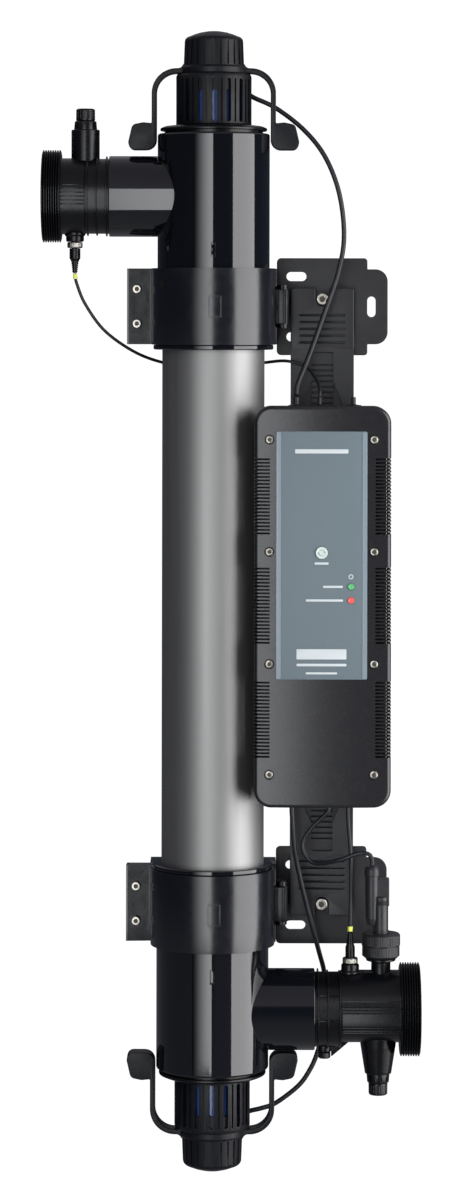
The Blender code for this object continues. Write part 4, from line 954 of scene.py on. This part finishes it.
# The clamps
def clamp_strap():
    left, ear_front, ear_back = EAR
    root_y = ear_front + 1.4
    band_left = math.degrees(math.acos(-math.sqrt(BAND_RADIUS ** 2 - root_y ** 2) / BAND_RADIUS))
    swing_back = math.degrees(math.asin((ear_back - PIN[1]) / SWING_RADIUS))
    swing_front = math.degrees(math.asin((-9 - PIN[1]) / SWING_RADIUS))
    root_x = BAND_RADIUS * math.cos(math.radians(band_left))
    outline = [(left + (root_x - left) * part, ear_front + (root_y - ear_front) * part)
               for part in (0, 0.08, 0.94)]
    outline += arc((0, 0), BAND_RADIUS, band_left, 370, 96)
    outline += arc((0, 0), BAND_BORE, 370, 190.5, 80)
    outline += arc(PIN, SWING_RADIUS, 180 - swing_front, 180 - swing_back, 10)
    outline.append((left, ear_back))
    band = bevelled(slab(outline, -CLAMP_HALF, CLAMP_HALF), 0.7, 3, 50)
    lug = rounded([(50.5, 6), (62, 6, 3), (PIN[0] + 5, PIN[1] - 1, 3), (55, PIN[1] + 2), (48.5, 12)], 5)
    knuckle = bevelled(slab(lug, -HINGE_HALF, HINGE_HALF), 0.5, 2, 50)
    joined(band, knuckle, rod(PIN, 5.2, -HINGE_HALF, HINGE_HALF))
    hooks = [rounded_block((52.2, 55.6), (-3.0, 7.0), span(side, 17.5, 32.0), 0.8) for side in (-1, 1)]
    frame_groove = block((-3.9, 7.1), (-BAND_RADIUS - 2, -BAND_RADIUS + 1.0), (-9.3, 9.3))
    cut(frame_groove, block((-3.2, 6.0), (-BAND_RADIUS - 4, -BAND_RADIUS + 4), (-8.6, 8.6)))
    cut(band, frame_groove, rod(PIN, HINGE_BORE, -40, 40))
    edge_bar = rounded_block((6.2, 7.3), (-BAND_RADIUS - 0.35, -BAND_RADIUS + 4), (-9.3, 9.3), 0.35)
    joined(band, edge_bar, *hooks)
    for side in (-1, 1):
        cut(band, rod((SCREW_X, side * SCREW_SPACING / 2), 2.4, ear_front - 5, ear_back + 5, "Y"))
    fold_low, fold_high = ear_front - 0.6, ear_front + 1
    fold = slab([(-55.9, fold_low), (-54.9, fold_low), (-54.9, fold_high), (-55.9, fold_high)],
                -CLAMP_HALF + 0.6, CLAMP_HALF - 0.6)
    return joined(band, bevelled(fold, 0.25))


def hinge_leaf():
    """The block over the hinge, on the strap."""
    leaf = rounded_block((56.6, 63.0), (4.0, 9.4), (-HINGE_HALF, HINGE_HALF), 0.7)
    return joined(leaf, rounded_block((61.8, 64.0), (3.2, 8.6), (-15.2, 15.2), 0.5))


def clamp_saddle():
    left, _, ear_back = EAR
    front = ear_back + GAP
    wall = -AXIS_Y
    horn = PIN[1] + 6.5
    right = -AXIS_X - 40.6 - GAP
    start = math.degrees(math.asin(horn / BAND_BORE))
    finish = 180 - math.degrees(math.asin(front / BAND_BORE))
    outline = [(right, wall), (right, horn)]
    outline += arc((0, 0), BAND_BORE, start, finish, 64)
    outline += rounded([(left, front, 1.0), (left + 1, 40, 16), (left + 15, wall)], 8)
    saddle = bevelled(slab(outline, -CLAMP_HALF, CLAMP_HALF), 0.6, 2, 50)
    lug = [(right - 8, horn + 6), (right - 5, PIN[1] + 3), (PIN[0] + 4, PIN[1]), (PIN[0] + 4, horn + 6)]
    for side in (-1, 1):
        low, high = span(side, 15.3, 19.0)
        joined(saddle, slab(lug, low, high), rod(PIN, 4.6, low, high))
        step = span(side, CLAMP_HALF - 8, CLAMP_HALF + 1)
        cut(saddle, block((left - 1, left + 21), (front + 7, wall + 1), step))
        cut(saddle, rod((SCREW_X, side * SCREW_SPACING / 2), 2.2, front - 1, front + 14, "Y"))
    return cut(saddle, rod(PIN, HINGE_BORE, -40, 40))


def clamp_screw(z):
    """A captive socket screw in a bright collar."""
    head = solid([(4.2, 0, 0.3), (4.2, 2.6, 0.5), (3.5, 3.3, 0.4)], 2 * SMALL, 3)
    cut(head, hexagon(2.15, 1.2, 5))
    joined(head, solid([(2.0, -7.4), (2.0, 0.5)], SMALL))
    return fronted(head, SCREW_X, EAR[1] - GAP, z)


# The wall plates, arms and control box
def wall_plate():
    half_x, half_z, tab_x, tab_z = 40.6, 43.5, 58.8, 33.6
    outline = rounded([
        (-half_x, -half_z, 4), (half_x, -half_z, 3), (half_x, -tab_z), (tab_x, -tab_z, 11),
        (tab_x, tab_z, 11), (half_x, tab_z), (half_x, half_z, 3), (-half_x, half_z, 4)], 10)
    plate = bevelled(slab(outline, -4.0, 0, "Y"), 0.6, 3, 50)
    cutters = [slot_outline(-23.0, side * 27.0, 18.0, 8.1) for side in (-1, 1)]
    cutters.append(slot_outline(44.2, 0, 18.4, 7.6, tall=True))
    return cut(plate, *[slab(points, -5, 1, "Y") for points in cutters])


def box_arm(way):
    """A bracket arm with a grooved block, two legs and a toothed web; way is -1 where it is upside down."""
    notch = 6.25
    outline = rounded([
        (-ARM_HALF, -150, 2), (-9.4, -150, 2), (-9.4, -41, 2), (10, -41, 2), (10, -150, 2),
        (ARM_HALF, -150, 2), (ARM_HALF, 16.7, 3), (notch, 16.7, 1), (notch, ARM_SCREW_Z - notch, notch - 0.1),
        (-notch, ARM_SCREW_Z - notch, notch - 0.1), (-notch, 16.7, 1), (-ARM_HALF, 16.7, 3)], 10)
    arm = bevelled(slab([(x, way * z) for x, z in outline], ARM_FRONT, ARM_BACK, "Y"), 0.7, 3, 50)
    web = block((-10.4, 11), (ARM_BACK - 5.8, ARM_BACK), span(way, -130, -36))
    floor = block((-8, 8), (ARM_BACK - 1.2, ARM_BACK), span(way, -0.5, 12.7))
    joined(arm, web, floor)
    groove_y, tooth_y = (ARM_FRONT - 2, ARM_FRONT + 5.5), (ARM_BACK - 8, ARM_BACK - 1.2)
    cutters = [rounded_block((-20.5, 20.5), groove_y, span(way, *about(z, 1.15)), 0.35)
               for z in (-7.6, -13.7, -19.8, -25.9, -32.0)]
    cutters += [block((-9.2, 9.8), tooth_y, span(way, *about(-51.9 - 4.95 * step, 0.9))) for step in range(9)]
    cutters += [block(x_range, (ARM_FRONT - 2, ARM_FRONT + 0.9), span(way, -160, -37.2))
                for x_range in ((-40, -9.4), (10, 40))]
    for side in (-1, 1):
        inner = side * 9.9 + 0.3
        slope = [(inner, way * -67), (inner, way * -160), (side * 21, way * -160), (side * 21, way * -92)]
        cutters.append(slab(slope, ARM_FRONT - 2, ARM_FRONT + 3.4, "Y"))
    return cut(arm, *cutters, fronted(rod((0, 0), 2.8, -2, 12), y=ARM_BACK, z=way * ARM_SCREW_Z))


def arm_screw(way):
    head = solid([(5.2, -1.8), (5.2, 5.2, 0.5), (4.6, 5.6, 0.3)])
    cut(head, hexagon(2.9, 2.4, 9, 10))
    joined(head, solid([(2.5, -5), (2.5, -1)], SMALL))
    return fronted(head, y=ARM_BACK - 3.3, z=way * ARM_SCREW_Z)


def crown(x):
    """How far the cover's curved front lies behind its middle."""
    return CROWN_RADIUS - math.sqrt(CROWN_RADIUS ** 2 - (x - BOX_X) ** 2)


def cover_loop(inset, y, corner, curved):
    """A rounded rectangle seen from the front, as its upper and lower half from left to right."""
    half_x = COVER_SIZE[0] / 2 - inset
    half_z = COVER_SIZE[1] / 2 - inset
    corner = max(corner - inset, 0.5)
    steps, spans = 12, 28
    upper = arc((-half_x + corner, half_z - corner), corner, 180, 90, steps)
    straight = half_x - corner
    upper += [(-straight + 2 * straight * span / spans, half_z) for span in range(1, spans)]
    upper += arc((half_x - corner, half_z - corner), corner, 90, 0, steps)

    def placed(x, z):
        return (BOX_X + x, y + (crown(BOX_X + x) if curved else 0), BOX_Z + z)

    return [placed(x, z) for x, z in upper], [placed(x, -z) for x, z in upper]


def box_shell():
    """The cover's shell: a crowned front with a soft edge, open at the back."""
    fillet = 3.6
    sections = [(3, COVER_FRONT + 3, 15, True), (3, COVER_BACK, 15, False), (0.4, COVER_BACK, 15, False),
                (0, COVER_BACK - 0.4, 15, False)]
    for step in range(11):
        angle = math.radians(90 * step / 10)
        sections.append((fillet * (1 - math.cos(angle)), COVER_FRONT + fillet * (1 - math.sin(angle)), 15,
                        True))
    bm = bmesh.new()
    loops = []
    for section in sections:
        upper, lower = cover_loop(*section)
        loops.append(([bm.verts.new(p) for p in upper], [bm.verts.new(p) for p in lower]))
    count = len(loops[0][0])
    for (upper_a, lower_a), (upper_b, lower_b) in zip(loops, loops[1:]):
        for index in range(count - 1):
            bm.faces.new((upper_a[index], upper_a[index + 1], upper_b[index + 1], upper_b[index]))
            bm.faces.new((lower_a[index + 1], lower_a[index], lower_b[index], lower_b[index + 1]))
        for index in (0, -1):
            bm.faces.new((upper_a[index], upper_b[index], lower_b[index], lower_a[index]))
    for upper, lower in (loops[0], loops[-1]):
        for index in range(count - 1):
            bm.faces.new((upper[index], upper[index + 1], lower[index + 1], lower[index]))
    return shape_from(bm)


SCREW_PLACES = [(x, z) for x in (-48.0, 42.5) for z in (-115.0, -212.0, -309.0, -404.6)]
VENT_GROUPS = (-131.0, -225.5, -324.0)
VENT_PITCH = 3.05
VENTS = 22
VENT_WIDTH = 13.7


def box_cover():
    cover = box_shell()
    half = COVER_SIZE[0] / 2
    sides = ((BOX_X - half - 1, BOX_X - half + VENT_WIDTH), (BOX_X + half - VENT_WIDTH, BOX_X + half + 1))
    slots = []
    for top in VENT_GROUPS:
        for index in range(VENTS):
            z_range = about(top - 1.0 - index * VENT_PITCH, 0.85)
            slots += [block(x_range, (COVER_FRONT - 1, COVER_FRONT + 24), z_range) for x_range in sides]
    recesses = [rod((x, z), 4.4, COVER_FRONT - 2, COVER_FRONT + 2.5 + crown(x), "Y", ROUND)
                for x, z in SCREW_PLACES]
    holes = [rod(BUTTON[:2], BUTTON_HOLE, COVER_FRONT - 2, COVER_FRONT + 5, "Y")]
    holes += [rod(place, LED_HOLE, COVER_FRONT - 2, COVER_FRONT + 5, "Y") for place in LEDS.values()]
    return cut(cover, gathered(slots), gathered(recesses), gathered(holes))


def cover_screw(x, z):
    """A hex-socket screw in its recess in the cover."""
    head = solid([(3.4, 0, 0.2), (3.4, 2.1, 0.5), (2.2, 2.4, 0.3)])
    cut(head, hexagon(1.95, 0.3, 4))
    return fronted(head, x, COVER_FRONT + 2.4 + crown(x), z)


def box_back():
    x_range, z_range = (-48.5, 44.5), (-428.0, -92.0)
    flange_back = COVER_BACK - GAP
    body = bevelled(slab(rounded_rectangle(x_range, z_range, 8), flange_back - 2, ARM_FRONT - GAP, "Y"), 1.6,
                    4, 50)
    half_x, half_z = COVER_SIZE[0] / 2 - 3.3, COVER_SIZE[1] / 2 - 3.3
    flange = slab(rounded_rectangle(about(BOX_X, half_x), about(BOX_Z, half_z), 11.7),
                  flange_back - 3, flange_back, "Y")
    joined(body, flange)
    for x, sleeve in ((-23.7, 2.45), (-3.0, 1.75), (27.0, 2.0)):
        joined(body, moved(gland(sleeve), x, -45, z_range[1]))
    for x, sleeve in ((-27.0, 2.45), (5.0, 2.2), (22.5, 2.05)):
        joined(body, moved(turned_by(gland(sleeve), 180, "X"), x, -45, z_range[0]))
    seam = block((x_range[0] - 1, x_range[1] + 1), (-78.5, -77.5), (z_range[0] - 1, z_range[1] + 1))
    core = block((x_range[0] + 0.7, x_range[1] - 0.7), (-85, -70), (z_range[0] + 0.7, z_range[1] - 0.7))
    cut(body, cut(seam, core))
    inside = slab(rounded_rectangle((x_range[0] + 3, x_range[1] - 3), (z_range[0] + 3, z_range[1] - 3), 5),
                  flange_back - 5, ARM_FRONT - 3.3, "Y")
    return cut(body, inside)


def gland(sleeve):
    """A low collar with the thin sleeve that a lead comes out of."""
    return solid([(7.4, -1), (7.4, 4.9, 1.4), (sleeve, 5.6, 0.4), (sleeve, 12, 0.4)], SMALL)


def make_box():
    stand_in("box_cover", box_cover(), "cover_plastic")
    stand_in("box_back", box_back(), "charcoal_plastic")
    for index, (x, z) in enumerate(SCREW_PLACES):
        detail(f"cover_screw_{index + 1}", "box_cover", cover_screw(x, z), "nickel_metal")
    # Painted shade: a dark disc in each cover screw's hex socket.
    painted_shade_discs = [fronted(hexagon(1.9, 0.3, 1.1), x, COVER_FRONT + 2.4 + crown(x), z) for x, z in SCREW_PLACES]
    detail("cover_screw_painted_socket_shade", "box_cover", gathered(painted_shade_discs), "socket_shade")
    make_label()


LABEL_BARS = (  # centre, length and height of the plain bars printed on the label
    (-3.0, -125.0, 46.0, 3.6),
    (-3.0, -221.8, 12.0, 1.9),
    (6.8, -241.9, 17.0, 1.9),
    (-0.5, -253.7, 32.0, 1.9),
    (-3.0, -300.2, 43.0, 8.8),
    (-3.0, -309.4, 43.0, 2.2),
    (-3.0, -316.6, 27.0, 1.7),
)
LABEL_RING = (22.4, -233.2)


def make_label():
    """The label's panel with its two raised rails, lighter in colour as a painted highlight of the label's
    edges, plain printed bars, button and lamps.
    """
    x, z, width, height = LABEL
    left, right = about(x, width / 2)
    low, high = about(z, height / 2)
    front = COVER_FRONT - GAP - 0.9
    rail = 3.8
    panel = bevelled(slab(rounded_rectangle((left, right), (low, high), 1.5), front + 0.25, COVER_FRONT + 2.6,
                     "Y"), 0.3)
    holes = [rod(BUTTON[:2], BUTTON_HOLE, front - 1, COVER_FRONT + 9, "Y", ROUND)]
    holes += [rod(place, LED_HOLE, front - 1, COVER_FRONT + 9, "Y") for place in LEDS.values()]
    stand_in("box_label", cut(panel, *holes), "label_panel")
    # The rails' lighter colour is painted highlight, standing in for light on the label's bevelled long
    # edges.
    for name, start in (("left", left + 0.4), ("right", right - rail - 0.4)):
        strip = rounded_block((start, start + rail), (front, front + 0.5), (low + 0.5, high - 0.5), 0.12)
        detail(f"label_rail_painted_highlight_{name}", "box_label", strip, "label_rail_painted_highlight")
    printed = []
    for bar_x, bar_z, length, tall in LABEL_BARS:
        bar = rounded_rectangle(about(bar_x, length / 2), about(bar_z, tall / 2), min(tall, 2) * 0.3, 3)
        printed.append(bevelled(slab(bar, front + 0.17, front + 0.5, "Y"), 0.04))
    mark = slab(arc(LABEL_RING, 2.1, 0, 350, 35), front + 0.17, front + 0.5, "Y")
    printed.append(cut(mark, rod(LABEL_RING, 1.35, front - 1, front + 2, "Y")))
    detail("label_print", "box_label", gathered(printed), "label_print")
    make_button(front - 0.9)
    for name, (led_x, led_z) in LEDS.items():
        dome = turned([(0, -14), (2.8, -14), (2.8, 0.2), (2.4, 0.9, 0.5), (0, 1.1)], SMALL)
        stand_in(name, fronted(dome, led_x, front + 0.5, led_z), name.replace("led", "lens"))


def make_button(front):
    """The round button with a ring and two turning arrows moulded on its face."""
    disc = solid([(5.25, -14), (5.25, 0, 0.6), (3.9, 0, 0.2), (3.9, -0.3)], steps=3)
    stand_in("reset_button", fronted(disc, BUTTON[0], front, BUTTON[1]), "pale_plastic")
    arrows = []
    for turn in (0, 180):
        arrow = slab(arc((0, 0), 2.9, 15, 125, 16) + arc((0, 0), 2.1, 125, 15, 16), -0.32, -0.02)
        head = slab([(3.6, 0.9), (1.4, 0.9), (2.5, -0.9)], -0.32, -0.02)
        arrows += [turned_by(arrow, turn), turned_by(head, turn)]
    detail("button_arrows", "reset_button", fronted(gathered(arrows), BUTTON[0], front, BUTTON[1]),
           "button_mark")


# Assembly


def make_end(end):
    matrix, lamp, port = END_FRAME[end], LAMP_FRAME[end], PORTS[end]
    make_port, knob, lead_side, plug_radius = {
        "upper": (inlet_port, "bleed_knob", 1, 4.8), "lower": (outlet_port, "drain_knob", -1, 4.2)}[end]
    stand_in(f"tee_{end}", tee(end), "gloss_black_plastic", matrix)
    stand_in(f"end_flange_{end}", end_flange(), "satin_black_plastic", lamp)
    stand_in(f"sleeve_nut_{end}", sleeve_nut(), "cap_rubber", lamp)
    # The sight ring's faint glow is painted light.
    stand_in(f"sight_ring_{end}", sight_ring(), "blue_clear", lamp)
    stand_in(f"lamp_cap_{end}", lamp_cap(lead_side), "cap_rubber", lamp)
    stand_in(port["node"], make_port(), "satin_black_plastic", matrix)
    stand_in(knob, stem_knob(port["stem"], STEM_TOP[end]), "satin_black_plastic", matrix)
    stand_in(f"sensor_ring_{end}", sensor_ring(port["sensor"]), "nickel_metal", matrix)
    stand_in(f"sensor_plug_{end}", sensor_plug(port["sensor"], plug_radius), "satin_black_plastic", matrix)


def make_clamp(end):
    matrix = CLAMP_FRAME[end]
    stand_in(f"clamp_strap_{end}", clamp_strap(), "strap_plastic", matrix)
    detail(f"hinge_leaf_{end}", f"clamp_strap_{end}", hinge_leaf(), "satin_black_plastic", matrix)
    stand_in(f"clamp_saddle_{end}", clamp_saddle(), "satin_black_plastic", matrix)
    stand_in(f"hinge_pin_{end}", moved(ring(0, 2.2, -19.5, 19.5, 0.5, SMALL), *PIN), "satin_black_plastic",
             matrix)
    for place, side in (("top", 1), ("bottom", -1)):
        name, z = f"clamp_screw_{end}_{place}", side * SCREW_SPACING / 2
        stand_in(name, clamp_screw(z), "nickel_metal", matrix)
        # Painted shade: a dark disc in the clamp screw's hex socket.
        floor = fronted(hexagon(2.1, 0.9, 1.6), SCREW_X, EAR[1] - GAP, z)
        detail(name + "_socket", name, floor, "socket_shade", matrix)
    mount = shift(z=CLAMP_Z[end])
    way = {"upper": 1, "lower": -1}[end]
    stand_in(f"wall_plate_{end}", wall_plate(), "charcoal_plastic", mount)
    stand_in(f"box_arm_{end}", box_arm(way), "charcoal_plastic", mount)
    stand_in(f"arm_screw_{end}", arm_screw(way), "nickel_metal", mount)
    # Painted shade: a dark disc in the arm screw's hex socket.
    floor = fronted(hexagon(2.8, 2.2, 3.0, 10), y=ARM_BACK - 3.3, z=way * ARM_SCREW_Z)
    detail(f"arm_screw_{end}_socket", f"arm_screw_{end}", floor, "socket_shade", mount)


def make_bands():
    """The coloured band on each sensor lead where it leaves its plug."""
    for end in ENDS:
        diameter, route = LEADS[f"sensor_lead_{end}"]
        points, _ = smooth_route(route, 0.6)
        near = points[1:9] if end == "upper" else points[-9:-1]
        detail(f"lead_band_{end}", f"sensor_plug_{end}", swept(near, diameter / 2 + 0.5, SMALL),
               "yellow_band")


CARRIED = {"quartz_sleeve": "quartz", "uv_lamp": "lamp_glass", "circuit_board": "board",
           "ballast": "ballast_metal", "flow_paddle": "satin_black_plastic"}


def finish_carried():
    """Gives a finish to the CAD nodes that are shown as they are."""
    for end in ENDS:
        CARRIED.update({f"tube_oring_{end}": "seal_rubber", f"sleeve_oring_{end}": "seal_rubber",
                        f"lamp_socket_{end}": "pale_plastic"})
    for name, look in CARRIED.items():
        shown = frame["nodes"][name]
        shown.data.materials.clear()
        shown.data.materials.append(LOOKS[look])
        SLOTS.get(look, look)


SLOTS = {
    "strap_plastic": "satin_black_plastic",
    "cover_plastic": "charcoal_plastic",
    "lamp_glass": "quartz",
    "label_rail_painted_highlight": "label_panel",
    "label_print": "pale_plastic",
    "button_mark": "label_panel",
    "yellow_band": "lead_sheath",
    "socket_shade": "nickel_metal",
    "switch_plastic": "satin_black_plastic",
}

LOOKS = make_looks()
make_camera()
make_stage()
make_leads()
make_tube()
for end_name in ENDS:
    make_end(end_name)
    make_clamp(end_name)
stand_in("outlet_plug", outlet_plug(), "satin_black_plastic", END_FRAME["lower"])
stand_in("flow_switch_nut", flow_switch_nut(), "charcoal_plastic", END_FRAME["lower"])
stand_in("flow_switch_body", flow_switch_body(), "switch_plastic", END_FRAME["lower"])
make_box()
make_bands()
finish_carried()
